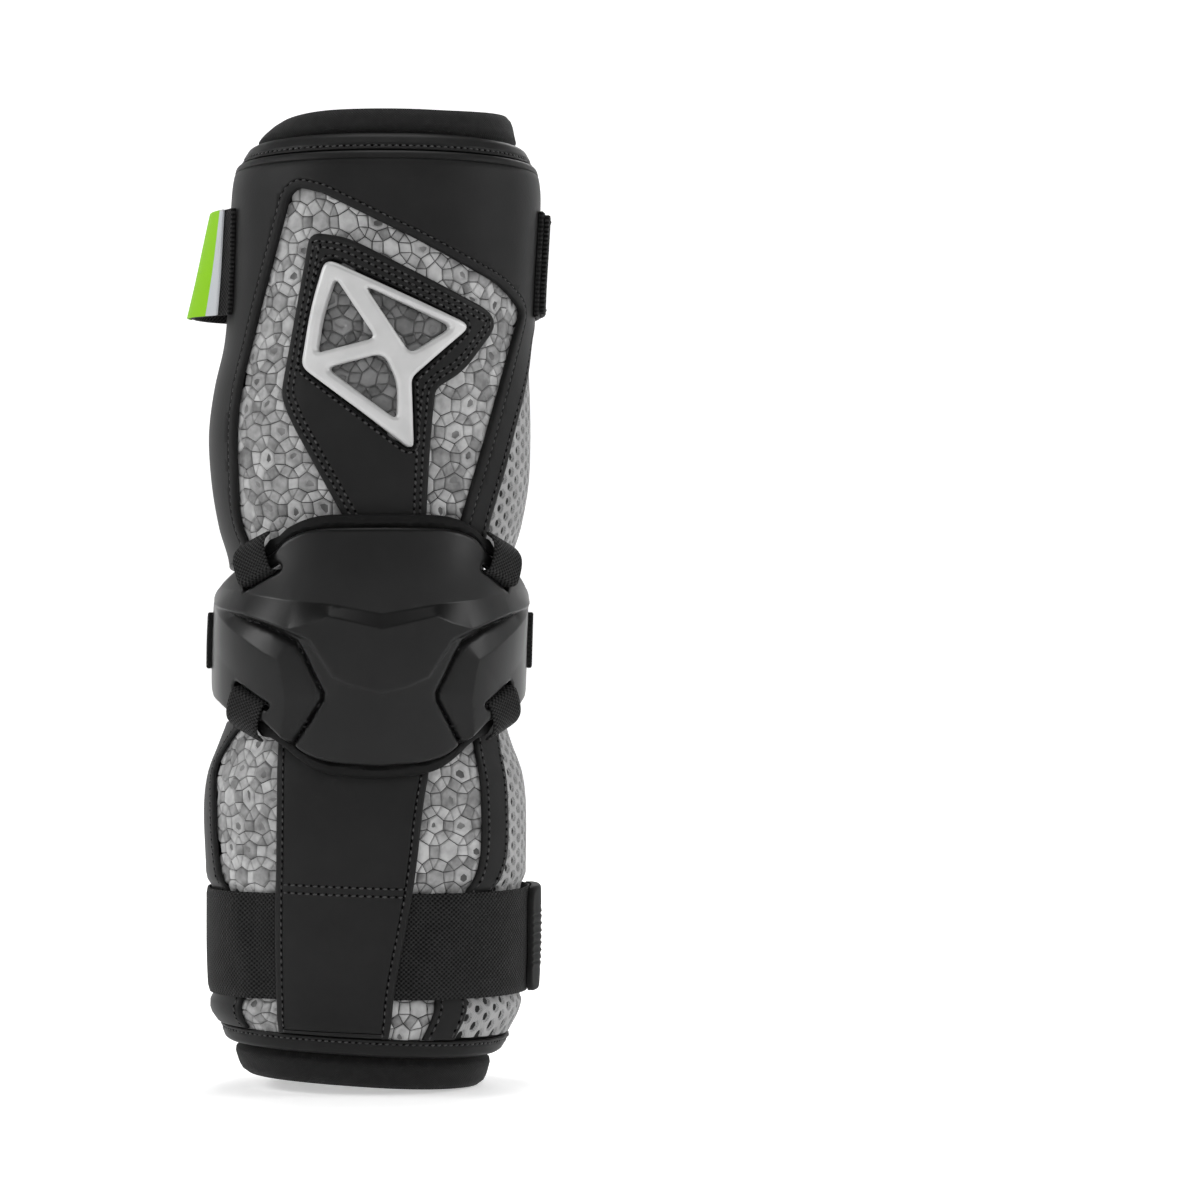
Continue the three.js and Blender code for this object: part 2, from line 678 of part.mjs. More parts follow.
function slotSpot(slot) {
  const height = slot.at * (slot.at > 0 ? capRise : capFall);
  return { degrees: capTurn + slot.side * slot.aside * capHalfTurn, height };
}

// Directions on the cap's face at a slot: along the slot, across it towards the edge, and out.
function slotAxes(slot) {
  const { degrees, height } = slotSpot(slot);
  const turn = THREE.MathUtils.degToRad(degrees);
  const out = new THREE.Vector3(Math.sin(turn), -Math.cos(turn), 0);
  const aroundArm = new THREE.Vector3(Math.cos(turn), Math.sin(turn), 0).multiplyScalar(slot.side);
  const lengthwise = aroundArm.clone().add(new THREE.Vector3(0, 0, slot.rise)).normalize();
  const edgeward = new THREE.Vector3().crossVectors(out, lengthwise).normalize();
  if (Math.sign(edgeward.z) !== slot.out) edgeward.negate();
  const point = new THREE.Vector3(...pointAt(degrees, height, capRadius(degrees, height)));
  return { point, out, lengthwise, edgeward };
}

function slotCutter(slot) {
  const { point, out, lengthwise, edgeward } = slotAxes(slot);
  const box = new THREE.BoxGeometry(slotLength, slotWidth, capDepth / 2);
  const third = new THREE.Vector3().crossVectors(lengthwise, edgeward);
  box.applyMatrix4(new THREE.Matrix4().makeBasis(lengthwise, edgeward, third));
  box.translate(point.x, point.y, point.z);
  return toSolid(box);
}

function buildElbowCap() {
  const slots = SLOTS.map(slotCutter);
  const cutSlots = (solid) => slots.reduce((left, slot) => left.subtract(slot), solid);
  const cap = toSolid(wall({
    place: capPlace(1, () => 0),
    inside: above(capRadius, -capWall),
    outside: (degrees, height) => capRadius(degrees, height) + capRelief(degrees, height),
    columns: FACES.cap,
    rows: FACES.capRows,
  }));
  addPiece('elbow_cap', toGeometry(cutSlots(cap)), LOOK.cap);
  const baseSide = BASE_EDGE[BASE_EDGE.length - 1].aside;
  const base = toSolid(wall({
    place: capPlace(baseSide, (aside) => capBaseRim * straight(BASE_EDGE, 'aside', aside, 'reach')),
    inside: above(capRadius, -capWall - clearance - capBaseWall),
    outside: above(capRadius, -capWall - clearance),
    columns: FACES.base,
    rows: FACES.baseRows,
  }));
  addPiece('cap_base', toGeometry(cutSlots(base)), LOOK.base);
}

// One webbing loop: out of its slot, over the cap's edge and down to the sleeve behind it.
// run: distance from the slot towards the edge, as a share of loopRun; lift: height above the
// cap's face as a share of loopDrop.
const loopRun = 15;
const loopDrop = 8;
const LOOP_PATH = [
  { run: 0.02, lift: -0.42 },
  { run: 0.03, lift: 0.12 },
  { run: 0.1, lift: 0.22 },
  { run: 0.5, lift: 0.17 },
  { run: 0.74, lift: -0.06 },
  { run: 0.9, lift: -0.55 },
];

function buildLoop(slot) {
  const { point, out, lengthwise, edgeward } = slotAxes(slot);
  const path = LOOP_PATH.map((step) => new THREE.Vector2(step.run * loopRun, step.lift * loopDrop));
  const positions = [];
  path.forEach((spot, i) => {
    const before = path[Math.max(i - 1, 0)];
    const after = path[Math.min(i + 1, path.length - 1)];
    const normal = new THREE.Vector2(before.y - after.y, after.x - before.x).setLength(loopWall);
    for (const [side, layer] of [[-0.5, 0], [0.5, 0], [0.5, 1], [-0.5, 1]]) {
      const place = point.clone().addScaledVector(lengthwise, side * loopWidth);
      place.addScaledVector(edgeward, spot.x + normal.x * layer);
      place.addScaledVector(out, spot.y + normal.y * layer);
      positions.push(place.x, place.y, place.z);
    }
  });
  const end = 4 * (path.length - 1);
  const faces = [[0, 1, 2], [0, 2, 3], [end, end + 2, end + 1], [end, end + 3, end + 2]];
  for (let ring = 0; ring < end; ring += 4) {
    for (let side = 0; side < 4; side += 1) {
      const next = (side + 1) % 4;
      faces.push([ring + side, ring + side + 4, ring + next + 4]);
      faces.push([ring + side, ring + next + 4, ring + next]);
    }
  }
  const mirrored = new THREE.Vector3().crossVectors(lengthwise, edgeward).dot(out) < 0;
  const geometry = new THREE.BufferGeometry();
  geometry.setAttribute('position', new THREE.Float32BufferAttribute(positions, 3));
  geometry.setIndex(faces.flatMap(([a, b, c]) => (mirrored ? [b, a, c] : [a, b, c])));
  addPiece(`cap_strap_${slot.name}`, geometry, LOOK.webbing);
}

function buildLowerGuard() {
  const spots = [...sectionLevels, ...linerLevels, ...strapLevels];
  const levels = levelsBetween(-lowerLength, -waistHeight, spots);
  const trimSeam = (height) => (lowerEdge('trimLeft')(height) + lowerEdge('trimRight')(height)) / 2;
  const backFace = above(linerFace, linerGap);
  addPiece('lower_pad', wall({
    ...patch(padBack.left, trimSeam, levels),
    inside: backFace,
    outside: padFace,
    columns: FACES.lowerPad,
  }), LOOK.cells);
  addPiece('lower_side_pad', wall({
    ...patch((height) => trimSeam(height) + seamGap, padBack.right, levels),
    inside: backFace,
    outside: padFace,
    columns: FACES.sidePad,
  }), LOOK.mesh);
  addPiece('lower_trim', wall({
    ...patch(lowerEdge('trimLeft'), lowerEdge('trimRight'), levels),
    inside: above(padFace, clearance),
    outside: above(padFace, clearance + trimWall),
    columns: FACES.trim,
  }), LOOK.panel);
  const sidePanel = sheet({
    sides: [coverBack.left, LOWER_EDGES[0].side],
    levels,
    wallThickness: trimWall,
    columns: FACES.panel,
    face: padFace,
  });
  const edgeLevels = LOWER_EDGES.map((row) => row.at * lowerLength);
  const besideMesh = offcut(lowerEdge('side'), LOWER_EDGES[0].panelLeft, edgeLevels);
  addPiece('lower_left_panel', toGeometry(sidePanel.subtract(besideMesh)), LOOK.panel);
  const panelLift = clearance + webbingWall + clearance;
  addPiece('lower_centre_panel', wall({
    ...patch(lowerEdge('panelLeft'), lowerEdge('panelRight'), levels),
    inside: (degrees, height) => padFace(degrees, height) + clearance
      + (panelLift - clearance) * squeeze(height) / strapDip,
    outside: (degrees, height) => armRadius(degrees, height) + clearance + panelWall,
    columns: FACES.panel,
  }), LOOK.panel);
}

function strap(name, { turns, height, width, inside, thick, columns, look = LOOK.webbing }) {
  const levels = levelsBetween(height - width / 2, height + width / 2, sectionLevels);
  addPiece(name, wall({
    ...patch(turns.from, turns.to, levels),
    inside,
    outside: above(inside, thick),
    columns,
    ring: turns.to - turns.from >= 360,
  }), look);
}

function buildForearmStrap() {
  const overTrim = (degrees, height) => {
    const place = fromFront(degrees);
    const side = lowerEdge('side')(height);
    const left = 1 - smoothStep(place, side + strapRamp, side + 2 * strapRamp);
    const trimLeft = lowerEdge('trimLeft')(height);
    const trim = smoothStep(place, trimLeft - 2 * strapRamp, trimLeft - strapRamp);
    return (trimWall + clearance) * Math.max(left, trim);
  };
  const face = (degrees, height) => {
    const place = fromFront(degrees);
    const onPad = padFace(place, forearmStrapHeight) + clearance + overTrim(place, height);
    const drift = armRadius(place, height) - armRadius(place, forearmStrapHeight);
    const onLiner = linerFace(place, height) + linerGap;
    return lerp(onPad + drift, onLiner, behind(place));
  };
  strap('forearm_strap', {
    turns: { from: 0, to: 360 },
    height: forearmStrapHeight,
    width: forearmStrapWidth - 2 * clearance,
    inside: face,
    thick: webbingWall,
    columns: FACES.forearmStrap,
  });
  strap('forearm_strap_tab', {
    turns: forearmTabTurns,
    height: forearmStrapHeight,
    width: forearmStrapWidth,
    inside: above(face, webbingWall + clearance),
    thick: webbingWall,
    columns: FACES.tab,
  });
}

function buildUpperStrap() {
  const shellFace = above(armRadius, clearance + shellWall + clearance);
  const half = upperStrapWidth / 2;
  const face = (degrees, height) => {
    const place = fromFront(degrees);
    const onLiner = linerFace(place, height) + linerGap;
    const low = (upperStrapHeight + half - height) / upperStrapWidth;
    const rise = smoothStep(-place, BULGE.starts, BULGE.full);
    const swell = rise * (1 - smoothStep(-place, BULGE.eases, BULGE.ends));
    const bulge = upperStrapBulge * swell * lerp(BULGE.above, BULGE.below, low);
    return lerp(shellFace(place, height), onLiner, behind(place)) + bulge;
  };
  const tabFace = above(face, webbingWall + clearance);
  strap('upper_strap', {
    turns: upperStrapTurns,
    height: upperStrapHeight,
    width: upperStrapWidth,
    inside: face,
    thick: webbingWall,
    columns: FACES.upperStrap,
  });
  strap('upper_strap_tab', {
    turns: upperTabTurns,
    height: upperStrapHeight,
    width: upperStrapWidth - 2,
    inside: tabFace,
    thick: webbingWall,
    columns: FACES.tab,
  });
  strap('strap_label', {
    turns: labelTurns,
    height: upperStrapHeight,
    width: upperStrapWidth,
    inside: tabFace,
    thick: labelWall,
    columns: FACES.label,
    look: LOOK.label,
  });
}

function buildElbowStrap() {
  const face = (degrees, height) => {
    const place = fromFront(degrees);
    const aside = Math.abs(fromFront(degrees - capTurn));
    const onCap = capRadius(place, height) + clearance;
    const onLiner = linerFace(place, height) + linerGap;
    return lerp(onCap, onLiner, smoothStep(aside, capHalfTurn, BULGE.ends));
  };
  strap('elbow_strap', {
    turns: { from: capTurn + elbowStrapTurns.from, to: capTurn + elbowStrapTurns.to },
    height: 0,
    width: elbowStrapWidth,
    inside: face,
    thick: webbingWall,
    columns: FACES.elbowStrap,
  });
}

buildLiner();
buildCollars();
buildUpperGuard();
buildKite();
buildElbowCap();
SLOTS.forEach(buildLoop);
buildLowerGuard();
buildForearmStrap();
buildUpperStrap();
buildElbowStrap();

export default group;
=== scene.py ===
# %% [markdown]
# # An arm pad for lacrosse
# A padded sleeve guards the arm from the wrist's glove to the shoulder. Its pads and covers are cut
# flat, stitched, and closed round a stretch sleeve, so this lesson works the same way: each piece is
# modelled flat in millimetres, as a cutter would lay it out, and is then wrapped on the arm's form.

# %% Load the fixed frame
import math
import random

import bmesh
import bpy
import mathutils
from mathutils import Matrix, Vector


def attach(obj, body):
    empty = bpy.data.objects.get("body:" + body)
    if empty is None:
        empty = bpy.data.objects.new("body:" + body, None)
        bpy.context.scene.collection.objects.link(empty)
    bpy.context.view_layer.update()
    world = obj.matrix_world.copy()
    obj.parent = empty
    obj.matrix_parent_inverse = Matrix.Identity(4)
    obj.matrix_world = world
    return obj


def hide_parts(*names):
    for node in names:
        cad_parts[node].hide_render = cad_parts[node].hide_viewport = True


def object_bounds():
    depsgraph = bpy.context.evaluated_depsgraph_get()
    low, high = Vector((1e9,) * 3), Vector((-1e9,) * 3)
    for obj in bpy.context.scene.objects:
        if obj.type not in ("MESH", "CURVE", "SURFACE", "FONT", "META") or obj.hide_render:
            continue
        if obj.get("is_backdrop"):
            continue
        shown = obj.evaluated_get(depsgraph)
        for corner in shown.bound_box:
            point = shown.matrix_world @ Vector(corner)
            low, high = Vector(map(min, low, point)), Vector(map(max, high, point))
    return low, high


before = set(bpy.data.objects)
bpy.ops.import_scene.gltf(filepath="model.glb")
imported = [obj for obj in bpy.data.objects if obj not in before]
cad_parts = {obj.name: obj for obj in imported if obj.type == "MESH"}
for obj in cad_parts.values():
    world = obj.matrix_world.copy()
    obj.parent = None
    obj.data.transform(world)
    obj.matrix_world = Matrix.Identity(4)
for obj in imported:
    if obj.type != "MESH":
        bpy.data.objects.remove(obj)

MM = 0.001


def short(box):
    return [[round(value, 4) for value in corner] for corner in box]


cad_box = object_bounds()
print("CAD nodes:", len(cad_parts), "box:", short(cad_box))

# %% [markdown]
# ## The arm's form
# The padded arm is an oval that changes with height. A short table holds its half width, half depth
# and the place of its middle at a few heights, as shares of the main sizes. A smooth curve runs
# through each column, which is how a loft works.

# %% Main sizes and the table of sections
UPPER_LENGTH = 170.0
LOWER_LENGTH = 139.0
PAD_HALF_WIDTH = 56.5
PAD_HALF_DEPTH = 49.0
PAD_THICKNESS = 8.0
LINER_GAP = 0.9
LINER_WALL = 2.7
SQUARENESS = 2.25
FOOT_TILT = 2.5
FRONT_RISE = 2.0
WAIST = 29.0

ARM_SECTIONS = [  # height share, half width, half depth, middle along X, middle along Y
    (-1.135, 0.775, 0.775, -0.06, 0.14),
    (-1.058, 0.84, 0.845, -0.062, 0.125),
    (-1.0, 0.905, 0.91, -0.045, 0.11),
    (-0.95, 0.97, 0.97, -0.028, 0.1),
    (-0.83, 0.997, 1.0, -0.023, 0.07),
    (-0.6, 1.0, 1.0, -0.021, 0.033),
    (-0.43, 1.007, 1.0, -0.026, 0.014),
    (-0.34, 0.98, 0.984, -0.026, 0.006),
    (-0.26, 0.907, 0.94, -0.025, 0.002),
    (-0.195, 0.86, 0.91, -0.018, 0.0),
    (0.0, 0.84, 0.9, -0.01, 0.0),
    (0.16, 0.87, 0.92, 0.009, 0.0),
    (0.235, 0.935, 0.96, 0.011, 0.004),
    (0.33, 0.985, 0.992, 0.012, 0.012),
    (0.435, 1.0, 1.0, 0.009, 0.027),
    (0.53, 0.98, 1.0, 0.023, 0.041),
    (0.625, 0.943, 0.988, 0.048, 0.06),
    (0.735, 0.936, 0.98, 0.064, 0.085),
    (0.94, 0.942, 0.98, 0.087, 0.147),
    (1.0, 0.912, 0.95, 0.09, 0.167),
    (1.042, 0.85, 0.88, 0.094, 0.178),
    (1.1, 0.785, 0.81, 0.098, 0.195),
]
LINER_SINK = [  # height share, depth below the pads' face as a share of PAD_THICKNESS
    (-1.135, 0.0), (-1.07, 0.05), (-1.058, 0.5), (-1.0, 0.88), (-0.95, 1.04),
    (0.94, 1.04), (1.0, 0.9), (1.042, 0.42), (1.05, 0.06), (1.1, 0.0),
]


def clamp(value, low=0.0, high=1.0):
    return max(low, min(high, value))


def mix(a, b, share):
    return a + (b - a) * share


def step(low, high, value):
    """A smooth step from 0 at low to 1 at high."""
    t = clamp((value - low) / (high - low))
    return t * t * (3 - 2 * t)


def row_at(rows, place):
    """The index of the table's row below a place, and the share of the way to the next row."""
    low = 0
    while low < len(rows) - 2 and rows[low + 1][0] < place:
        low += 1
    return low, clamp((place - rows[low][0]) / (rows[low + 1][0] - rows[low][0]))


def straight(rows, place, column=1):
    low, t = row_at(rows, place)
    return mix(rows[low][column], rows[low + 1][column], t)


def smooth(rows, place, column=1):
    low, t = row_at(rows, place)

    def slope(row):
        before, after = rows[max(row - 1, 0)], rows[min(row + 1, len(rows) - 1)]
        return (after[column] - before[column]) / (after[0] - before[0])

    span = rows[low + 1][0] - rows[low][0]
    level = mix(rows[low][column], rows[low + 1][column], t * t * (3 - 2 * t))
    return level + span * t * (1 - t) * ((1 - t) * slope(low) - t * slope(low + 1))


def arm_share(height):
    return height / (UPPER_LENGTH if height > 0 else LOWER_LENGTH)


# %% [markdown]
# A place on the arm is a turn round it, a height and a distance from its middle. Sections are rounded
# ovals between an ellipse and a box, as a padded arm is, and are kept in a table to save time.

# %% From a turn and a height to a point
# A turn is an angle round the arm: 0 at the front, where the elbow cap is, and 90 on the right.
LEVELS_PER_MM = 2
LOWEST, HIGHEST = -162, 198


def oval(turn, half_width, half_depth):
    side = abs(math.sin(turn)) / half_width
    front = abs(math.cos(turn)) / half_depth
    return (side ** SQUARENESS + front ** SQUARENESS) ** (-1 / SQUARENESS)


def section(height):
    at = arm_share(height)
    shares = [smooth(ARM_SECTIONS, at, column) for column in (1, 2, 3, 4)]
    return (shares[0] * PAD_HALF_WIDTH, shares[1] * PAD_HALF_DEPTH,
            shares[2] * PAD_HALF_WIDTH, shares[3] * PAD_HALF_DEPTH)


SECTIONS = [section(LOWEST + i / LEVELS_PER_MM) for i in range((HIGHEST - LOWEST) * LEVELS_PER_MM)]


def section_at(height):
    place = clamp((height - LOWEST) * LEVELS_PER_MM, 0, len(SECTIONS) - 1.001)
    low = int(place)
    return [mix(a, b, place - low) for a, b in zip(SECTIONS[low], SECTIONS[low + 1])]


def arm_radius(degrees, height):
    wide, deep, _, _ = section_at(height)
    return oval(math.radians(degrees), wide, deep)


def place_at(degrees, height, radius):
    """A point in metres at a turn, a height and a distance from the arm's middle."""
    _, _, shift, back = section_at(height)
    turn = math.radians(degrees)
    at = arm_share(height)
    tilt = FOOT_TILT * math.sin(turn) * clamp(-20 * at - 19)
    tilt -= FRONT_RISE * max(0, math.cos(turn)) * step(0.85, 1, at)
    return Vector((shift + radius * math.sin(turn), back - radius * math.cos(turn), height - tilt)) * MM


def on_face(degrees, height):
    return place_at(degrees, height, arm_radius(degrees, height))


def liner_lift(degrees, height):
    """How far the sleeve's face stands off the pads' face."""
    return -PAD_THICKNESS * straight(LINER_SINK, arm_share(height)) - LINER_GAP


print("arm at the elbow:", [round(v, 1) for v in section_at(0)])

# %% [markdown]
# ## Flat patterns
# A cloth cutter thinks in flat shapes. Flat x is the distance round the pad from its front, flat y is
# the height, and flat z is how far a point stands off the pad's face. Outlines come from a few
# corners, some rounded. Those of the window and its patch were drawn in the front view, so each of
# their points is first carried to the turn at which the arm's form has that place.

# %% Distance round the pad
REFERENCE_HEIGHT = 70.0


def arc_table():
    lengths = [0.0]
    for degree in range(200):
        ends = [on_face(degree + i, REFERENCE_HEIGHT) for i in (0, 1)]
        lengths.append(lengths[-1] + (ends[1] - ends[0]).length / MM)
    return lengths


ARC = arc_table()


def spread(degrees):
    """Flat x of a turn."""
    place = min(abs(degrees), len(ARC) - 1.001)
    low = int(place)
    return math.copysign(mix(ARC[low], ARC[low + 1], place - low), degrees)


HALF_ROUND = spread(180)


def turn_of(flat_x):
    """The turn of a flat x, which may run on round the back."""
    if abs(flat_x) > HALF_ROUND:
        flat_x -= math.copysign(2 * HALF_ROUND, flat_x)
    low, high = 0, len(ARC) - 1
    while high - low > 1:
        half = (low + high) // 2
        low, high = (half, high) if ARC[half] <= abs(flat_x) else (low, half)
    return math.copysign(low + (abs(flat_x) - ARC[low]) / (ARC[high] - ARC[low]), flat_x)


print("round the pad:", round(2 * HALF_ROUND), "mm")


def front_to_flat(x, height):
    """The flat place of a point seen from the front."""
    low, high = -80.0, 80.0
    for _ in range(24):
        half = (low + high) / 2
        if on_face(half, height).x / MM < x:
            low = half
        else:
            high = half
    return spread(low), height


# %% [markdown]
# An outline is a list of corners with a radius each. A corner is rounded by a curve that leaves one
# edge and runs smoothly into the next, and long edges get more points, so that they can bend later.

# %% Outlines with rounded corners
CORNER_STEP = 0.8


def rounded(corners, spacing=4.0, closed=True):
    """Points along straight edges and round corners, from rows of x, y and corner radius."""
    points = []
    count = len(corners)
    for i, (x, y, radius) in enumerate(corners):
        here = Vector((x, y))
        before, after = Vector(corners[i - 1][:2]), Vector(corners[(i + 1) % count][:2])
        if not closed and i in (0, count - 1):
            radius = 0
        reach = min(radius, 0.45 * min((before - here).length, (after - here).length))
        if reach > 0:
            start, end = (here + (other - here).normalized() * reach for other in (before, after))
            turns = max(3, round(reach / CORNER_STEP))
            for k in range(turns + 1):
                t = k / turns
                points.append(start * (1 - t) ** 2 + here * 2 * t * (1 - t) + end * t * t)
        else:
            points.append(here)
    return spaced(points, spacing, closed)


def spaced(points, spacing, closed):
    """The same points, with more on the long stretches between them."""
    result = []
    for i, point in enumerate(points):
        result.append(point)
        if closed or i + 1 < len(points):
            after = points[(i + 1) % len(points)]
            parts = int((after - point).length / spacing)
            result += [point.lerp(after, k / (parts + 1)) for k in range(1, parts + 1)]
    return result


def from_front(rows, closed=True):
    """A front-view outline, in shares of the main sizes, carried to the flat pattern."""
    corners = [(across * PAD_HALF_WIDTH, up * UPPER_LENGTH, radius) for across, up, radius in rows]
    return [Vector(front_to_flat(x, y)) for x, y in rounded(corners, closed=closed)]


def offset(points, distance, closed=True):
    """A line beside another one, to the right of its direction for a positive distance."""
    result = []
    count = len(points)
    for i, point in enumerate(points):
        before = points[i - 1] if closed or i > 0 else point
        after = points[(i + 1) % count] if closed or i + 1 < count else point
        along = (after - before).normalized()
        result.append(point + Vector((along.y, -along.x)) * distance)
    return result


def inside(point, loop):
    """Whether a point is in a closed outline: a line to its right then crosses it an odd number of times."""
    hit = False
    for i, a in enumerate(loop):
        b = loop[i - 1]
        if (a.y > point.y) != (b.y > point.y):
            if point.x < (b.x - a.x) * (point.y - a.y) / (b.y - a.y) + a.x:
                hit = not hit
    return hit


WINDOW_ROWS = [  # across as a share of PAD_HALF_WIDTH, up of UPPER_LENGTH, corner radius in mm
    (0.47, 0.1, 0), (0.58, 0.245, 0), (0.75, 0.443, 20), (0.94, 0.69, 3), (0.82, 0.738, 8),
    (0.275, 0.834, 0), (-0.26, 0.919, 0), (-0.41, 0.932, 5), (-0.47, 0.915, 3),
    (-0.656, 0.69, 0), (-0.81, 0.487, 20), (-0.79, 0.25, 6), (-0.6, 0.1, 0),
]
KITE_ROWS = [
    (0.06, 0.14, 0), (0.35, 0.14, 0), (0.39, 0.4, 10), (0.42, 0.518, 3), (0.59, 0.556, 10),
    (0.82, 0.67, 9), (-0.11, 0.832, 12), (-0.33, 0.842, 4), (-0.505, 0.505, 6), (-0.44, 0.45, 8),
]
FRAME_ROWS = [
    (-0.222, 0.787, 4), (-0.306, 0.686, 20), (-0.362, 0.563, 3), (0.285, 0.39, 3.5), (0.272, 0.54, 2),
    (0.614, 0.65, 4),
]
VENT_ROWS = [
    [(-0.165, 0.748, 3), (-0.245, 0.665, 12), (-0.275, 0.59, 2), (0.068, 0.622, 2.5)],
    [(0.008, 0.729, 2.5), (0.265, 0.589, 3), (0.52, 0.646, 3.5)],
    [(-0.22, 0.56, 3), (0.192, 0.452, 3), (0.195, 0.53, 4), (0.115, 0.591, 4)],
]
window = from_front(WINDOW_ROWS, closed=False)
kite = from_front(KITE_ROWS)
print("points in the window's edge:", len(window), "and in the patch's:", len(kite))

# %% [markdown]
# The other covers run up the pad from a foot to a top, so their edges are easier to give by height: each
# row of a table says at which turn every edge lies there.

# %% Edges of the other covers, by height
UPPER_STRIP = [  # height share, turn of the outer edge of the strip beside the window
    (0.1, 50), (0.25, 52), (0.37, 58), (0.47, 65), (0.57, 75), (0.64, 84), (0.67, 96), (0.72, 104),
    (1.0, 106),
]
LOWER_EDGES = [  # height share, panel left and right, trim left and right, side panel: turns
    (-1.02, -35, 13, 27, 41, -51),
    (-0.9, -34, 13, 31, 44, -53),
    (-0.64, -34, 20, 43, 55, -61),
    (-0.55, -33.5, 22, 48, 61, -65),
    (-0.4, -33, 25, 49, 62, -67),
    (-0.31, -34, 28, 49, 63, -71),
    (-0.23, -36, 31, 50, 66, -62),
    (-0.19, -37, 33, 51, 67, -52),
]
PANEL_LEFT, PANEL_RIGHT, TRIM_LEFT, TRIM_RIGHT, SIDE = 1, 2, 3, 4, 5
PAD_BACK_LEFT, PAD_BACK_RIGHT = -112, 118
COVER_BACK_LEFT = -108


def edge_points(rows, length, column=1, low=None, high=None, spacing=3.0):
    """Flat points up an edge that a table gives as turns by height."""
    low = rows[0][0] * length if low is None else low
    high = rows[-1][0] * length if high is None else high
    parts = max(2, round((high - low) / spacing))
    heights = [mix(low, high, k / parts) for k in range(parts + 1)]
    return [Vector((spread(smooth(rows, height / length, column)), height)) for height in heights]


def lower_edge(column, low=-LOWER_LENGTH, high=-WAIST):
    return edge_points(LOWER_EDGES, LOWER_LENGTH, column, low, high)


print("points up one edge of the lower panel:", len(lower_edge(PANEL_LEFT)))


# %% [markdown]
# ## From flat to round
# Everything flat is a bmesh whose z is the height off the pad. Ruling it into small cells first lets
# it bend. Then each corner point moves to its turn, height and radius. The flat x and y are kept as
# the piece's UV map in metres, so a weave or a knit follows the cloth and has its real size.

# %% Helpers that rule, wrap and finish a flat piece
def cut(bm, place, normal, dist=1e-4, **settings):
    """Cuts every face of a bmesh along a plane."""
    bmesh.ops.bisect_plane(bm, geom=bm.verts[:] + bm.edges[:] + bm.faces[:], dist=dist, plane_co=place,
                           plane_no=normal, **settings)


def rule(bm, cell):
    """Cuts faces along a grid of lines, cell millimetres apart."""
    for axis in (0, 1):
        low = min(vert.co[axis] for vert in bm.verts)
        high = max(vert.co[axis] for vert in bm.verts)
        lines = max(1, math.ceil((high - low) / cell))
        normal = Vector((1, 0, 0)) if axis == 0 else Vector((0, 1, 0))
        for k in range(1, lines):
            cut(bm, normal * mix(low, high, k / lines), normal)


def wrap(bm, lift_at=None, radius_at=arm_radius):
    """Lays a flat piece on the arm, or on another form given by radius_at."""
    uv = bm.loops.layers.uv.new("UVMap")
    for face in bm.faces:
        for loop in face.loops:
            loop[uv].uv = loop.vert.co.xy * MM
    for vert in bm.verts:
        degrees, height, lift = turn_of(vert.co.x), vert.co.y, vert.co.z
        if lift_at:
            lift += lift_at(degrees, height)
        vert.co = place_at(degrees, height, radius_at(degrees, height) + lift)


def finished(name, bm, materials, sharp=38, turn_out=True):
    """A new object from a bmesh, smooth but for edges sharper than the angle."""
    if turn_out:
        bmesh.ops.recalc_face_normals(bm, faces=bm.faces[:])
    mesh = bpy.data.meshes.new(name)
    bm.to_mesh(mesh)
    bm.free()
    mesh.polygons.foreach_set("use_smooth", [True] * len(mesh.polygons))
    mesh.set_sharp_from_angle(angle=math.radians(sharp))
    for material in materials:
        mesh.materials.append(material)
    piece = bpy.data.objects.new(name, mesh)
    bpy.context.scene.collection.objects.link(piece)
    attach(piece, "root")
    print(name, "faces:", len(mesh.polygons))
    return piece


# %% [markdown]
# A cut piece is filled from its outlines, pulled up into a slab, and then inset in rings. Each ring has
# a width and a rise, so a short table of them gives a rounded fold, a seam's furrow or a plain edge.

# %% Helpers that fill an outline and give it thickness
def face_up(bm):
    """Turns the faces of a flat bmesh upwards."""
    for face in bm.faces:
        if face.normal.z < 0:
            face.normal_flip()


def shift_faces(bm, faces, x, y, z):
    bmesh.ops.translate(bm, verts=list({vert for face in faces for vert in face.verts}), vec=(x, y, z))


def doubled(bm):
    """Gives a flat grid a second layer with a rim between, and returns its points."""
    made = bmesh.ops.extrude_face_region(bm, geom=bm.faces[:])["geom"]
    return {item for item in made if isinstance(item, bmesh.types.BMVert)}


def outline_faces(bm, loops, height=0.0):
    """Fills one outline, with holes if there are more."""
    edges = []
    for loop in loops:
        verts = [bm.verts.new((point.x, point.y, height)) for point in loop]
        edges += [bm.edges.new((vert, verts[i - 1])) for i, vert in enumerate(verts)]
    if len(loops) == 1:
        bmesh.ops.contextual_create(bm, geom=edges)
    else:
        bmesh.ops.triangle_fill(bm, use_beauty=True, edges=edges, normal=(0, 0, 1))
    face_up(bm)
    return bm.faces[:]


FLAT = {}  # width, length and area of each piece's flat pattern, in millimetres


def flat_size(bm):
    """Width and length of a flat bmesh."""
    places = [vert.co for vert in bm.verts]
    return [max(place[axis] for place in places) - min(place[axis] for place in places) for axis in (0, 1)]


def raise_slab(bm, faces, wall, rings):
    """Gives flat faces a wall, then insets the top in rings of a width and a rise."""
    made = bmesh.ops.extrude_face_region(bm, geom=faces)["geom"]
    top = [item for item in made if isinstance(item, bmesh.types.BMFace)]
    shift_faces(bm, top, 0, 0, wall)
    for width, rise in rings:
        bmesh.ops.inset_region(bm, faces=top, thickness=width, depth=0, use_even_offset=False)
        shift_faces(bm, top, 0, 0, rise)


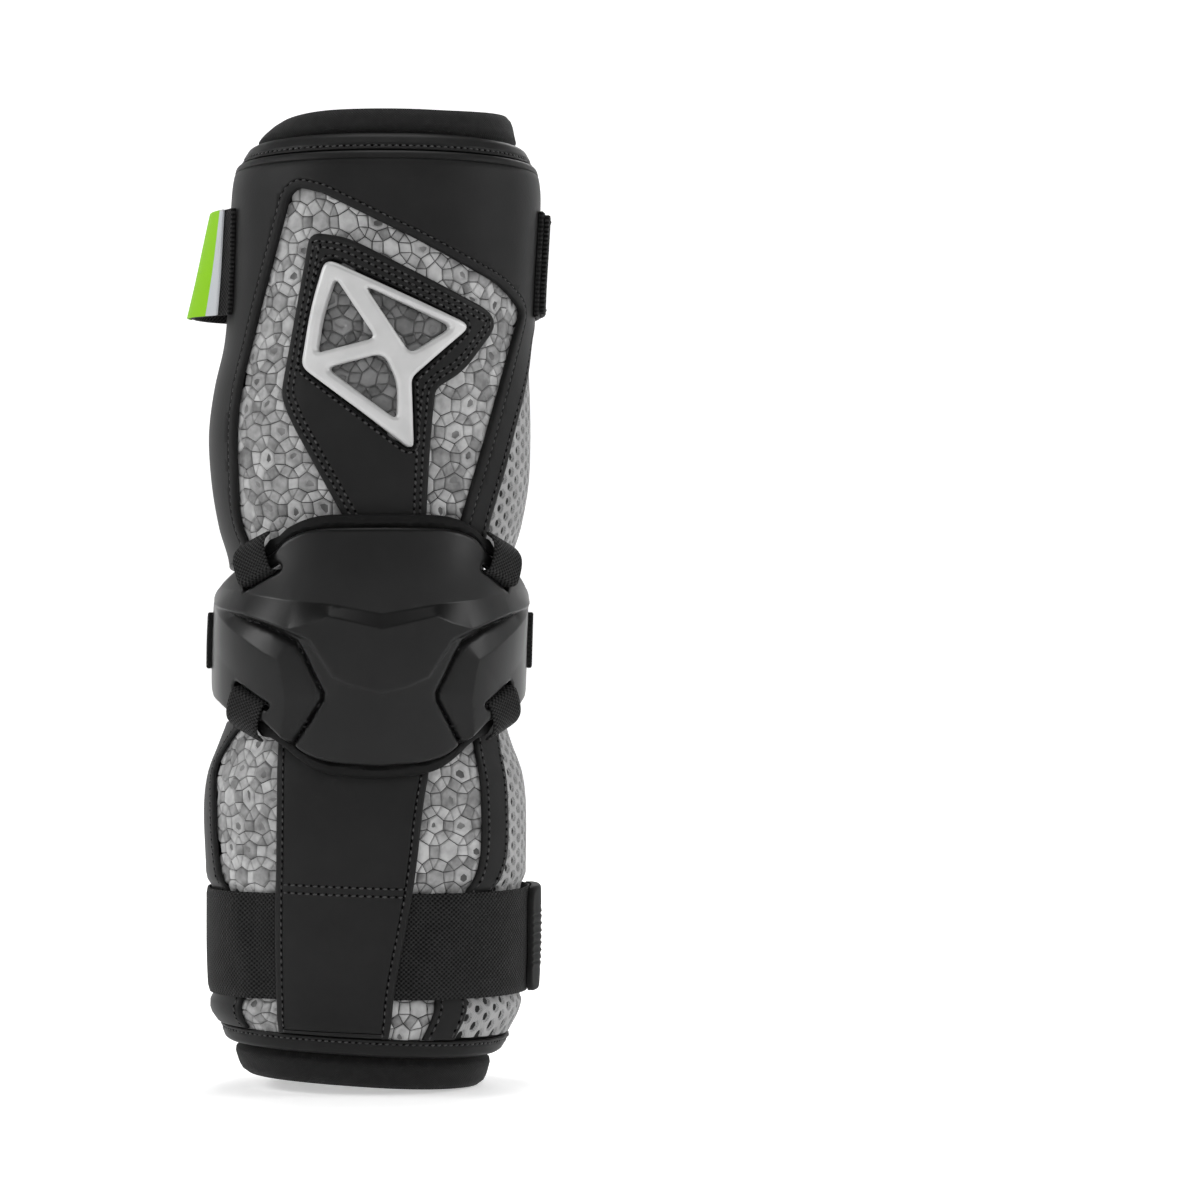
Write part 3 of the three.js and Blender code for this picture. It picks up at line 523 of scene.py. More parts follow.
FOLDED_EDGE = [(0.3, 0.45), (0.5, 0.28), (0.6, 0.1), (1.0, 0.0), (0.4, -0.45), (0.55, 0.45)]
PLAIN_EDGE = [(0.25, 0.3), (0.4, 0.15)]
print("a folded and stitched edge is", round(sum(width for width, _ in FOLDED_EDGE), 2), "mm wide")

# %% [markdown]
# ## Materials
# Each finish starts from the real stuff: coated cloth, stretch knit, moulded foam, spacer mesh,
# webbing and moulded plastics. One helper adds a node with its settings and links. Colours are
# written as the hex values that a screen shows, and one function makes them linear. Every pattern's
# scale comes from a real size in millimetres. Yarns and grain are drawn a little coarser than the real
# ones, because those are too fine to show in the picture.

# %% Colour and node helpers
def linear(hex_colour):
    channels = [int(hex_colour[i:i + 2], 16) / 255 for i in (1, 3, 5)]
    return [c / 12.92 if c <= 0.04045 else ((c + 0.055) / 1.055) ** 2.4 for c in channels] + [1.0]


def add(tree, kind, inputs=(), out=None, **settings):
    """Adds a node. inputs pairs a socket's name or number with a value or another node's output."""
    made = tree.nodes.new(kind)
    for name, value in settings.items():
        setattr(made, name, value)
    for socket, value in dict(inputs).items():
        if isinstance(value, bpy.types.NodeSocket):
            tree.links.new(value, made.inputs[socket])
        else:
            made.inputs[socket].default_value = value
    return made if out is None else made.outputs[out]


def start(name, coordinates="Object"):
    """A new material with its shader and output, and the place on the piece that patterns follow."""
    material = bpy.data.materials.new(name)
    material.use_nodes = True
    tree = material.node_tree
    tree.nodes.clear()
    shader = add(tree, "ShaderNodeBsdfPrincipled")
    add(tree, "ShaderNodeOutputMaterial", {"Surface": shader.outputs["BSDF"]})
    return material, tree, shader, add(tree, "ShaderNodeTexCoord", out=coordinates)


def set_shader(shader, **values):
    """Sets the shader's own sockets: rough=0.5 sets Roughness, and so on."""
    names = {"rough": "Roughness", "metal": "Metallic", "ior": "IOR", "sheen": "Sheen Weight",
             "sheen_rough": "Sheen Roughness", "coat": "Coat Weight", "coat_rough": "Coat Roughness",
             "specular": "Specular IOR Level"}
    for word, value in values.items():
        shader.inputs[names[word]].default_value = value


# %% [markdown]
# A real surface is hardly ever one flat colour. Most finishes here take two things from a pattern: a
# shade between a dark and a light colour, and a shallow relief that catches the light. Cloths read
# their own UV map, so that the yarns follow the piece. Moulded things read their place in space.

# %% What the finishes share: a shade, a relief, blotches and crossing yarns
def shade_by(tree, shader, pattern, low, high, dark, light):
    """Colours the surface from dark to light as a pattern goes from low to high."""
    made = add(tree, "ShaderNodeValToRGB", {"Fac": pattern})
    first, last = made.color_ramp.elements
    first.position, first.color = low, linear(dark)
    last.position, last.color = high, linear(light)
    tree.links.new(made.outputs["Color"], shader.inputs["Base Color"])


def emboss(tree, shader, height, depth, strength, below=None):
    """Relief of a real depth in millimetres, on top of another relief if one is given."""
    inputs = {"Height": height, "Distance": depth * MM, "Strength": strength}
    if below is not None:
        inputs["Normal"] = below
    normal = add(tree, "ShaderNodeBump", inputs, out="Normal")
    tree.links.new(normal, shader.inputs["Normal"])
    return normal


def blotches(tree, place, size, detail=2.0):
    """Soft blotches that are size millimetres across."""
    inputs = {"Vector": place, "Scale": 1 / (size * MM), "Detail": detail}
    return add(tree, "ShaderNodeTexNoise", inputs, out=0)


def both(tree, first, share, second):
    """A share of one pattern, with the rest from another."""
    parts = [add(tree, "ShaderNodeMath", {0: pattern, 1: weight}, out=0, operation="MULTIPLY")
             for pattern, weight in ((first, share), (second, 1 - share))]
    return add(tree, "ShaderNodeMath", dict(enumerate(parts)), out=0, operation="ADD")


def yarns(tree, uv, across, up):
    """A chequer of round dots, across by up millimetres a pair, as crossing yarns show."""
    parts = add(tree, "ShaderNodeSeparateXYZ", {0: uv})
    waves = []
    for i, size in enumerate((across, up)):
        turns = add(tree, "ShaderNodeMath", {0: parts.outputs[i], 1: math.tau / (size * MM)}, out=0,
                    operation="MULTIPLY")
        waves.append(add(tree, "ShaderNodeMath", {0: turns}, out=0, operation="SINE"))
    crossed = add(tree, "ShaderNodeMath", dict(enumerate(waves)), out=0, operation="MULTIPLY")
    return add(tree, "ShaderNodeMath", {0: crossed, 1: 0.5, 2: 0.5}, out=0, operation="MULTIPLY_ADD")


# %% [markdown]
# The covers are cloth with a coat that hot rollers have pressed smooth, so light glances off it evenly.
# The sleeve is knitted and then brushed, so its fuzz scatters the light and it looks deeper black.

# %% Coated cloth, calendered: smooth, matt black, with a fine leathery grain
def make_coated_cloth():
    material, tree, shader, place = start("coated_cloth_black")
    grain = add(tree, "ShaderNodeTexVoronoi", {"Vector": place, "Scale": 1 / (0.9 * MM)}, out="Distance",
                feature="SMOOTH_F1")
    cloudy = blotches(tree, place, 24, 3)
    shade_by(tree, shader, cloudy, 0.3, 0.7, "#121212", "#181818")
    emboss(tree, shader, grain, 0.05, 0.5, emboss(tree, shader, cloudy, 0.5, 0.3))
    set_shader(shader, rough=0.5, ior=1.5, specular=0.14)
    return material


# %% Stretch knit: brushed nylon and elastane, which scatters light off its fuzz
def make_stretch_knit():
    material, tree, shader, uv = start("stretch_knit_black", "UV")
    fuzz = blotches(tree, uv, 3.5, 4)
    shade_by(tree, shader, fuzz, 0.3, 0.75, "#161616", "#1e1e1e")
    emboss(tree, shader, yarns(tree, uv, 1.3, 0.9), 0.16, 0.7, emboss(tree, shader, fuzz, 0.4, 0.3))
    set_shader(shader, rough=0.9, ior=1.45, sheen=0.05, sheen_rough=0.5, specular=0.15)
    return material


# %% [markdown]
# Foam that is moulded in one sheet is never one even grey. Each cell takes a shade of its own, which the
# mesh carries as an attribute, and blotches run over all of them. The film's cells are the same, darker.

# %% Moulded foam cells under a clear film: pale grey, a little glossy, each cell its own shade
def make_cell_foam(name, own_share, blotch, dark, light, grain, depth, strength, **settings):
    """Cells whose shade is partly each cell's own, from the mesh's attribute, and partly blotches."""
    material, tree, shader, place = start(name)
    own = add(tree, "ShaderNodeAttribute", out="Fac", attribute_name="shade")
    shade_by(tree, shader, both(tree, own, own_share, blotches(tree, place, blotch)), 0.25, 0.75, dark, light)
    emboss(tree, shader, blotches(tree, place, grain), depth, strength)
    set_shader(shader, **settings)
    return material


# %% Plain moulded finishes: faint blotches from the mould, and the fine grain of its spark-eroded face
def make_moulded(name, blotch, low, high, dark, light, grain, depth, strength, **settings):
    material, tree, shader, place = start(name)
    shade_by(tree, shader, blotches(tree, place, blotch, 3), low, high, dark, light)
    emboss(tree, shader, blotches(tree, place, grain), depth, strength)
    set_shader(shader, **settings)
    return material


# %% [markdown]
# Polyethylene is waxy, so the cap has a soft, slightly uneven gloss. It comes from a little noise in the
# roughness, which the eye reads more easily than any change of colour.

# %% Hard cap: injection-moulded polyethylene, whose gloss is a little uneven
def make_cap_plastic():
    material, tree, shader, place = start("moulded_polyethylene_black")
    cloudy = blotches(tree, place, 20, 3)
    shade_by(tree, shader, cloudy, 0.3, 0.7, "#0a0a0a", "#0f0f0f")
    uneven = add(tree, "ShaderNodeMath", {0: cloudy, 1: 0.08, 2: 0.3}, out=0, operation="MULTIPLY_ADD")
    tree.links.new(uneven, shader.inputs["Roughness"])
    emboss(tree, shader, blotches(tree, place, 0.55), 0.03, 0.6)
    set_shader(shader, ior=1.51, specular=0.21)
    return material


# %% [markdown]
# Spacer mesh is two knitted faces held apart by threads. Its yarns are drawn by their own UV map, and the
# foam in its holes is a second, darker material with open pores.

# %% Spacer mesh: warp-knitted polyester, pale grey, over darker foam that shows through its holes
def make_spacer_mesh():
    material, tree, shader, uv = start("spacer_mesh_knit_grey", "UV")
    ribs = yarns(tree, uv, 0.8, 0.8)
    place = add(tree, "ShaderNodeTexCoord", out="Object")
    uneven = both(tree, ribs, 0.35, blotches(tree, place, 9, 3))
    shade_by(tree, shader, uneven, 0.25, 0.8, "#767676", "#a2a2a2")
    emboss(tree, shader, ribs, 0.12, 0.6)
    set_shader(shader, rough=0.85, ior=1.5, sheen=0.1, sheen_rough=0.4)
    return material


def make_mesh_hole():
    material, tree, shader, place = start("open_cell_foam_dark")
    pores = blotches(tree, place, 0.9, 3)
    shade_by(tree, shader, pores, 0.3, 0.7, "#1a1a1a", "#303030")
    emboss(tree, shader, pores, 0.3, 0.6)
    set_shader(shader, rough=0.95, ior=1.45)
    return material


# %% [markdown]
# Webbing and labels are woven, so both take the same chequer of dots, at two sizes. The bright dots are
# yarns on top, and the dark ones are the gaps where yarns dive under.

# %% Woven webbing: thick crossing yarns make rows of dots. A label's yarns are finer
def make_webbing(name, across, up):
    material, tree, shader, uv = start(name, "UV")
    dots = yarns(tree, uv, across, up)
    worn = blotches(tree, uv, 9, 3)
    shade_by(tree, shader, both(tree, dots, 0.75, worn), 0.3, 0.62, "#000000", "#262626")
    emboss(tree, shader, dots, 0.4, 1.0)
    set_shader(shader, rough=0.7, ior=1.53, specular=0.1)
    return material


def make_label(name, dark, light):
    material, tree, shader, uv = start(name, "UV")
    weave = yarns(tree, uv, 0.7, 0.5)
    shade_by(tree, shader, weave, 0.1, 0.9, dark, light)
    emboss(tree, shader, weave, 0.06, 0.5)
    set_shader(shader, rough=0.6, ior=1.5, specular=0.1)
    return material


# %% [markdown]
# Sewing thread is bonded nylon. It shines a little more than the cloth, which is why a black seam still
# shows on a black cover. Part of that shine is painted: the thread's grey is lighter than the cloth's black.

# %% Bonded thread: a satin nylon, its grey partly painted sheen, and a dark ball of painted shade for the needle's pit
def make_thread_painted_sheen():
    material, tree, shader, uv = start("bonded_thread_painted_sheen", "UV")
    # Lighter than the cloth's black: partly painted sheen.
    shade_by(tree, shader, blotches(tree, uv, 4), 0.3, 0.7, "#242424", "#404040")
    set_shader(shader, rough=0.5, ior=1.53, specular=0.25)
    return material


# The needle's hole is a near-black ball with no gloss: painted shade for the pit.
def make_needle_hole_shade():
    material, _, shader, _ = start("needle_hole_painted_shade")
    shader.inputs["Base Color"].default_value = linear("#050505")
    set_shader(shader, rough=1.0, specular=0.0)
    return material


# %% [markdown]
# With the helpers ready, each finish is one line: its name, the size of its blotches in millimetres, its
# dark and light shade, and its grain.

# %% The finishes of this pad
coated_cloth = make_coated_cloth()
stretch_knit = make_stretch_knit()
cell_foam = make_cell_foam("moulded_foam_cells_grey", 0.4, 3.6, "#585858", "#a6a6a6", 1.1, 0.12, 0.35,
                           rough=0.5, ior=1.46, coat=0.15, coat_rough=0.3)
vent_film = make_cell_foam("smoky_film_over_cells", 0.5, 4.2, "#303030", "#6a6a6a", 2.0, 0.2, 0.4,
                           rough=0.32, ior=1.5, coat=0.25, coat_rough=0.15)
# The grooves between cells, the cells' dimples and the film's grooves are painted darker than the faces:
# painted shade.
cell_groove_shade, cell_dimple_shade, vent_groove_shade = (
    make_moulded(name, 9, 0.38, 0.66, dark, light, 0.8, 0.1, 0.4, rough=0.75, ior=1.46)
    for name, dark, light in (("moulded_foam_groove_painted_shade", "#1a1a1a", "#4e4e4e"),
                              ("moulded_foam_dimple_painted_shade", "#404040", "#727272"),
                              ("smoky_film_groove_painted_shade", "#262626", "#464646")))
silver_paint = make_moulded("moulded_frame_silver_paint", 16, 0.3, 0.75, "#acacac", "#c0c0c0", 0.7, 0.03, 0.4,
                            rough=0.42, metal=0.35)
cap_rubber = make_moulded("moulded_rubber_black", 14, 0.3, 0.7, "#0f0f0f", "#151515", 0.6, 0.05, 0.6,
                          rough=0.65, ior=1.52, specular=0.08)
cap_plastic = make_cap_plastic()
spacer_mesh = make_spacer_mesh()
mesh_hole = make_mesh_hole()
webbing = make_webbing("nylon_webbing_black", 1.7, 1.6)
elastic = make_webbing("elastic_webbing_black", 2.2, 1.6)
thread = make_thread_painted_sheen()
needle_hole_shade = make_needle_hole_shade()
label_green = make_label("woven_label_green", "#72aa0e", "#86bc1e")
label_grey = make_label("woven_label_grey", "#a2a5a8", "#b4b7ba")
print("materials:", len(bpy.data.materials))

# %% [markdown]
# ## The stretch sleeve
# The sleeve is a knitted tube that the arm goes into. It could be a plain cylinder, but the hems at
# its ends are folded over and stuffed, and the elbow pushes soft creases into it. A grid rolled into
# a ring, with its lift worked out row by row, gives all three.

# %% Sizes of the sleeve, and a grid that goes round
LINER_TOP = UPPER_LENGTH + 17
LINER_FOOT = -LOWER_LENGTH - 18.5
HEM_WIDTH, HEM_RISE, RIM_ROUND = 12.0, 0.7, 1.3
FOLD_REACH, FOLD_RUN, FOLD_DEPTH = 26.0, 3.6, 0.9
SLEEVE_COLUMNS, SLEEVE_ROWS = 120, 230


def ring_grid(bm, low, high, columns, rows):
    """A flat grid that goes once round the arm."""
    bmesh.ops.create_grid(bm, x_segments=columns, y_segments=rows, size=1)
    for vert in bm.verts:
        vert.co.x *= HALF_ROUND
        vert.co.y = mix(low, high, (vert.co.y + 1) / 2)


def close_ring(bm, lift_at=None):
    """Wraps a grid that goes once round, so that its two ends meet and become one."""
    ends = [face for face in bm.faces if min(abs(vert.co.x) for vert in face.verts) > HALF_ROUND - 0.01]
    bmesh.ops.delete(bm, geom=ends, context="FACES_ONLY")
    wrap(bm, lift_at)
    bmesh.ops.remove_doubles(bm, verts=bm.verts[:], dist=0.02 * MM)


print("the sleeve is", LINER_TOP - LINER_FOOT, "mm long")


# %% [markdown]
# The outer face follows the pads from below, rises at the hems, sinks at their seam and folds at the
# elbow. The inner face keeps the bore open. Both come from the same grid, doubled into two layers.

# %% The sleeve's outer and inner faces
def creases(degrees, height):
    """Soft folds round the elbow, deepest at the back."""
    near = math.exp(-(height / FOLD_REACH) ** 2)
    fold = math.sin(height / FOLD_RUN + 0.8 * math.sin(math.radians(degrees * 2)))
    return FOLD_DEPTH * near * fold * (0.35 + 0.65 * step(60, 150, abs(degrees)))


def sleeve_face(degrees, height):
    end = min(LINER_TOP - height, height - LINER_FOOT)
    hem = HEM_RISE * step(0, 4, end) * (1 - step(HEM_WIDTH - 5, HEM_WIDTH, end))
    seam = -HEM_RISE * math.exp(-((end - HEM_WIDTH - 1) / 1.4) ** 2)
    slack = 0.35 * math.sin(math.radians(degrees * 3 + height * 2.2)) * step(8, 30, end)
    return liner_lift(degrees, height) + hem + seam + slack + creases(degrees, height)


def bore_face(degrees, height):
    """The bore stays clear of the arm inside the pads, and follows the hems beyond them."""
    inner = clamp(height, -0.94 * LOWER_LENGTH, 0.94 * UPPER_LENGTH)
    reach = arm_radius(degrees, inner) - PAD_THICKNESS - LINER_GAP - LINER_WALL
    return min(reach - arm_radius(degrees, height), liner_lift(degrees, height) - LINER_WALL)


def make_sleeve():
    """The top hem droops on the left and stands up on the right."""
    bm = bmesh.new()
    ring_grid(bm, LINER_FOOT, LINER_TOP, SLEEVE_COLUMNS, SLEEVE_ROWS)
    inner = doubled(bm)
    for vert in bm.verts:
        degrees, height = turn_of(vert.co.x), vert.co.y
        left, right = (step(25, 95, side) * (1 - step(130, 175, side)) for side in (-degrees, degrees))
        vert.co.y += (-0.9 - 2.2 * left + 2.6 * right) * step(UPPER_LENGTH + 6, LINER_TOP, height)
        end = clamp(min(LINER_TOP - height, height - LINER_FOOT) / RIM_ROUND)
        roll = (1 - math.sqrt(1 - (1 - end) ** 2)) * LINER_WALL / 2
        if vert in inner:
            vert.co.z = bore_face(degrees, height) + roll
        else:
            vert.co.z = sleeve_face(degrees, height) - roll
        vert.co.z += (0.9 * right - 3.5 * left) * step(UPPER_LENGTH + 7, LINER_TOP, height) ** 2
    close_ring(bm)
    return finished("stretch_sleeve", bm, [stretch_knit], sharp=60)


sleeve = make_sleeve()
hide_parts("sleeve_upper", "sleeve_elbow", "sleeve_lower")

# %% [markdown]
# ## The pads and their moulded cells
# Under the covers lie foam pads. Their face is moulded into small cells: a six-sided cell ringed by
# square ones, with triangles between. Drawn as bump they would look painted, so each cell is real:
# a flat tiling is inset face by face into a groove, a steep side and a bevelled top, and then
# wrapped. Only what the covers leave open gets cells, and the foam below closes them from behind.

# %% Foam pads
CELL_DEPTH = 0.9
PAD_EDGE_WIDTH, PAD_EDGE_DROP = 3.0, 2.4
STRAP_HALF = 19.0
STRAP_PRESS = 2.0
FOREARM_STRAP = -LOWER_LENGTH + 32
UPPER_STRAP = UPPER_LENGTH - 35
UPPER_SEAM = [  # height share, turn where the cells end and the mesh starts
    (0.1, 42), (0.25, 45), (0.37, 51), (0.47, 56), (0.57, 64), (0.64, 70), (0.67, 73), (1.0, 76),
]


def make_pad(name, node, low, high, left, right, squeezed):
    """The foam body of a pad between two edges, each a turn or a function of the height."""
    bm = bmesh.new()
    bmesh.ops.create_grid(bm, x_segments=56, y_segments=44, size=1)
    inner = doubled(bm)
    for vert in bm.verts:
        height = mix(low, high, (vert.co.y + 1) / 2)
        ends = [edge(height) if callable(edge) else edge for edge in (left, right)]
        degrees = mix(*ends, (vert.co.x + 1) / 2)
        if vert in inner:
            lift = liner_lift(degrees, height) + LINER_GAP
        else:
            away = min(abs(degrees - ends[0]), abs(degrees - ends[1])) * 0.9
            lift = -CELL_DEPTH - PAD_EDGE_DROP * (1 - step(0, PAD_EDGE_WIDTH, away)) - squeezed(height)
        vert.co = (spread(degrees), height, lift)
    wrap(bm)
    pad = finished(name, bm, [coated_cloth], sharp=50)
    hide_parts(node)
    return pad


def squeeze(height):
    """How far the forearm strap presses into the pad."""
    return STRAP_PRESS * (1 - step(0, 4, abs(height - FOREARM_STRAP) - STRAP_HALF))


def no_squeeze(height):
    return 0.0


def upper_seam(height):
    return smooth(UPPER_SEAM, height / UPPER_LENGTH)


def lower_turn(column):
    return lambda height: smooth(LOWER_EDGES, height / LOWER_LENGTH, column)


def lower_seam(height):
    return (lower_turn(TRIM_LEFT)(height) + lower_turn(TRIM_RIGHT)(height)) / 2


def beyond(edge, degrees):
    """An edge some degrees past another one."""
    return lambda height: edge(height) + degrees


SIDE_GAP = 0.5  # degrees between the two pads of one height
upper_pad = make_pad("upper_foam_pad", "upper_pad", WAIST, UPPER_LENGTH,
                     PAD_BACK_LEFT, upper_seam, no_squeeze)
upper_side = make_pad("upper_side_foam", "upper_side_pad", WAIST, UPPER_LENGTH,
                      beyond(upper_seam, SIDE_GAP), PAD_BACK_RIGHT, no_squeeze)
lower_pad = make_pad("lower_foam_pad", "lower_pad", -LOWER_LENGTH, -WAIST,
                     PAD_BACK_LEFT, lower_seam, squeeze)
lower_side = make_pad("lower_side_foam", "lower_side_pad", -LOWER_LENGTH, -WAIST,
                      beyond(lower_seam, SIDE_GAP), PAD_BACK_RIGHT, squeeze)

# %% [markdown]
# Every cell starts as a flat polygon. The six-sided ones sit on a triangular grid, a square stands on
# each side between two of them, and a triangle fills what is left at each corner.

# %% The tiling
CELL_PITCH = 10.6
CELL_SIDE = CELL_PITCH / (1 + math.sqrt(3))


def polygon(bm, place, sides, radius, turn):
    """A flat filled polygon, turned by some degrees."""
    spot = Matrix.Translation((place.x, place.y, 0)) @ Matrix.Rotation(math.radians(turn), 4, "Z")
    bmesh.ops.create_circle(bm, cap_ends=True, segments=sides, radius=radius, matrix=spot)


def way(degrees):
    return Vector((math.cos(math.radians(degrees)), math.sin(math.radians(degrees))))


def tiling(bm, box, keep):
    """Six-sided, square and three-sided cells over a flat box, where keep allows their middle."""
    low, high = box
    row_height = CELL_PITCH * math.sqrt(3) / 2
    square_at = CELL_PITCH / 2
    corner_at = CELL_PITCH / math.sqrt(3)
    for row in range(math.floor(low.y / row_height), math.ceil(high.y / row_height) + 1):
        for column in range(math.floor(low.x / CELL_PITCH) - 1, math.ceil(high.x / CELL_PITCH) + 1):
            middle = Vector(((column + row % 2 / 2) * CELL_PITCH, row * row_height))
            cells = [(middle, 6, CELL_SIDE, 30)]
            cells += [(middle + way(turn) * square_at, 4, CELL_SIDE / math.sqrt(2), turn + 45)
                      for turn in (0, 60, 120)]
            cells += [(middle + way(turn) * corner_at, 3, CELL_SIDE / math.sqrt(3), turn + 180)
                      for turn in (30, 90)]
            for place, sides, radius, turn in cells:
                if keep(place):
                    polygon(bm, place, sides, radius, turn - 90)


# %% [markdown]
# Moulded foam is never quite regular. Each corner of the tiling strays a little, and neighbouring
# corners stray together, because corners at one place share one entry of a table. Two rings leave a
# narrow groove, whose floor is painted darker as shade, two more give the bevel, and six cells in ten
# get an off-centre dimple, also painted darker as shade.

# %% Cells
STRAY, DRIFT, DRIFT_RUN = 0.26, 1.3, 0.11
CELL_RINGS = ((0.19, 0.0), (0.12, 0.4), (0.22, 0.2), (0.45, 0.12))
DIMPLED_SHARE = 0.6
DIMPLE_RINGS = ((1.0, 0.02, 0.85), (0.3, -0.25, 0.0), (0.3, -0.1, 0.0))  # width, rise, shift aside
TOP_ABOVE_FOAM = 0.15


def make_cells(name, box, keep, squeezed, seed, materials, lift=0.0):
    """materials: those of the cells' faces, of the grooves between them and of their dimples. The last two
    are darker, as painted shade.
    """
    random.seed(seed)
    mathutils.noise.seed_set(seed)
    bm = bmesh.new()
    tiling(bm, box, keep)
    wobble = {}
    for vert in bm.verts:
        key = (round(vert.co.x * 2), round(vert.co.y * 2))
        if key not in wobble:
            drift = mathutils.noise.noise_vector(vert.co * DRIFT_RUN + Vector((seed, 0, 0)))
            own = Vector((random.uniform(-STRAY, STRAY), random.uniform(-STRAY, STRAY), 0))
            wobble[key] = own + drift * DRIFT
            wobble[key].z = 0
        vert.co += wobble[key]
    shade = bm.faces.layers.float.new("shade")
    face_up(bm)
    for face in bm.faces:
        face[shade] = random.random()
    tops = bm.faces[:]
    for width, rise in CELL_RINGS:
        made = bmesh.ops.inset_individual(bm, faces=tops, thickness=width, depth=0, use_even_offset=False)
        # A flat ring is a groove's floor and takes the darker finish: painted shade.
        for face in made["faces"]:
            face.material_index = 0 if rise else 1
            if rise:
                face[shade] = max(other[shade] for edge in face.edges for other in edge.link_faces)
        shift_faces(bm, tops, 0, 0, rise)
    for face in [face for face in tops if len(face.verts) == 6 and random.random() < DIMPLED_SHARE]:
        turn = random.uniform(0, math.tau)
        for width, rise, aside in DIMPLE_RINGS:
            bmesh.ops.inset_individual(bm, faces=[face], thickness=width, depth=0)
            shift_faces(bm, [face], aside * math.cos(turn), aside * math.sin(turn), rise)
        # The dimple takes the darker finish: painted shade.
        face.material_index = 2
    bmesh.ops.translate(bm, verts=bm.verts[:], vec=(0, 0, -CELL_DEPTH + TOP_ABOVE_FOAM))
    bmesh.ops.remove_doubles(bm, verts=bm.verts[:], dist=0.05)
    wrap(bm, lambda degrees, height: lift - squeezed(height))
    piece = finished(name, bm, materials, sharp=180, turn_out=False)
    return piece


# %% [markdown]
# Cells fill what the covers leave open, and run a few millimetres under their edges, so that no bare
# foam shows beside a hem.

# %% Where cells are
grown_window = offset(window, 3.0, closed=False)
shrunk_kite = offset(kite, -4.0)
UNDER_EDGE = 3


def in_window(place):
    return inside(place, grown_window) and not inside(place, shrunk_kite)


def in_forearm(place):
    height = place.y
    if not -LOWER_LENGTH - 2 < height < -WAIST + 4 or abs(height - FOREARM_STRAP) < STRAP_HALF - UNDER_EDGE:
        return False
    degrees = turn_of(place.x)
    left, right = lower_turn(PANEL_LEFT)(height), lower_turn(PANEL_RIGHT)(height)
    on_left = lower_turn(SIDE)(height) - UNDER_EDGE < degrees < left + UNDER_EDGE
    return on_left or right - UNDER_EDGE < degrees < lower_seam(height)


foam_finishes = [cell_foam, cell_groove_shade, cell_dimple_shade]
make_cells("upper_cells", (Vector((-75, 15)), Vector((75, 165))), in_window, no_squeeze, 3, foam_finishes)
make_cells("lower_cells", (Vector((-80, -142)), Vector((75, -24))), in_forearm, squeeze, 5, foam_finishes)

# %% [markdown]
# ## The spacer mesh
# The side pads are faced with a knitted mesh whose round holes show the darker foam. Each hole is a
# cell of a honeycomb: its face is inset to a ring, and the middle is pushed in and given the dark
# finish. One subdivision then rounds the holes.

# %% Mesh
HOLE_PITCH = 5.2
HOLE_RINGS = ((0.8, 0.0), (0.2, -0.35), (0.12, -0.7))  # width of each ring, and its drop
MESH_OVER, SKIRT = 4.0, 1.0


def make_mesh(name, left, right, low, high, squeezed):
    """Mesh between two edges, given by height, and cut off straight at the foot, the top and the back."""
    bm = bmesh.new()
    column_width = HOLE_PITCH * math.sqrt(3) / 2
    ends = [spread(edge(height)) for edge in (left, right) for height in (low, (low + high) / 2, high)]
    for column in range(math.floor(min(ends) / column_width) - 2, math.ceil(max(ends) / column_width) + 3):
        for row in range(math.floor(low / HOLE_PITCH) - 1, math.ceil(high / HOLE_PITCH) + 2):
            x, y = column * column_width, (row + column % 2 / 2) * HOLE_PITCH
            height = clamp(y, low, high)
            in_width = spread(left(height)) - MESH_OVER < x < spread(right(height)) + MESH_OVER
            if in_width and low - MESH_OVER < y < high + MESH_OVER:
                polygon(bm, Vector((x, y)), 6, HOLE_PITCH / math.sqrt(3), 30)
    face_up(bm)
    holes = bm.faces[:]
    for width, drop in HOLE_RINGS:
        bmesh.ops.inset_individual(bm, faces=holes, thickness=width, depth=0, use_even_offset=False)
        shift_faces(bm, holes, 0, 0, drop)
    for face in holes:
        face.material_index = 1
    bmesh.ops.remove_doubles(bm, verts=bm.verts[:], dist=0.02)
    for place, normal in (((0, low, 0), (0, -1, 0)), ((0, high, 0), (0, 1, 0)),
                          ((spread(right(low)), 0, 0), (1, 0, 0))):
        cut(bm, place, normal, clear_outer=True)
    area = sum(face.calc_area() * abs(face.normal.z) for face in bm.faces)
    size = flat_size(bm)
    rim = [edge for edge in bm.edges if edge.is_boundary]
    skirt = bmesh.ops.extrude_edge_only(bm, edges=rim)["geom"]
    bmesh.ops.translate(bm, verts=[v for v in skirt if isinstance(v, bmesh.types.BMVert)], vec=(0, 0, -SKIRT))
    wrap(bm, lambda degrees, height: -squeezed(height) + 0.05)
    piece = finished(name, bm, [spacer_mesh, mesh_hole], sharp=60, turn_out=False)
    rounder = piece.modifiers.new("round_holes", "SUBSURF")
    rounder.levels = rounder.render_levels = 1
    FLAT[name] = (*size, area)
    return piece


def back_of_mesh(height):
    return PAD_BACK_RIGHT - MESH_INSIDE


MESH_INSIDE = 0.5  # how far the mesh stays inside its pad
upper_mesh = make_mesh("upper_spacer_mesh", upper_seam, back_of_mesh,
                       WAIST + MESH_INSIDE, UPPER_LENGTH - MESH_INSIDE, no_squeeze)
lower_mesh = make_mesh("lower_spacer_mesh", beyond(lower_seam, 1), back_of_mesh,
                       -LOWER_LENGTH + MESH_INSIDE, -WAIST - MESH_INSIDE, squeeze)

# %% [markdown]
# ## Stitches
# Lockstitch shows as a row of short thread lumps, about 2.6 mm apart, pressed a little into the
# cloth. Each is a small stretched ball of twenty faces, laid flat along its seam before wrapping, and
# a near-black one between two of them is painted shade for the needle's hole.

# %% Stitch rows
STITCH_PITCH = 2.6
LUMP = (0.85, 0.4, 0.3, 1)  # half its length, half its width and its height
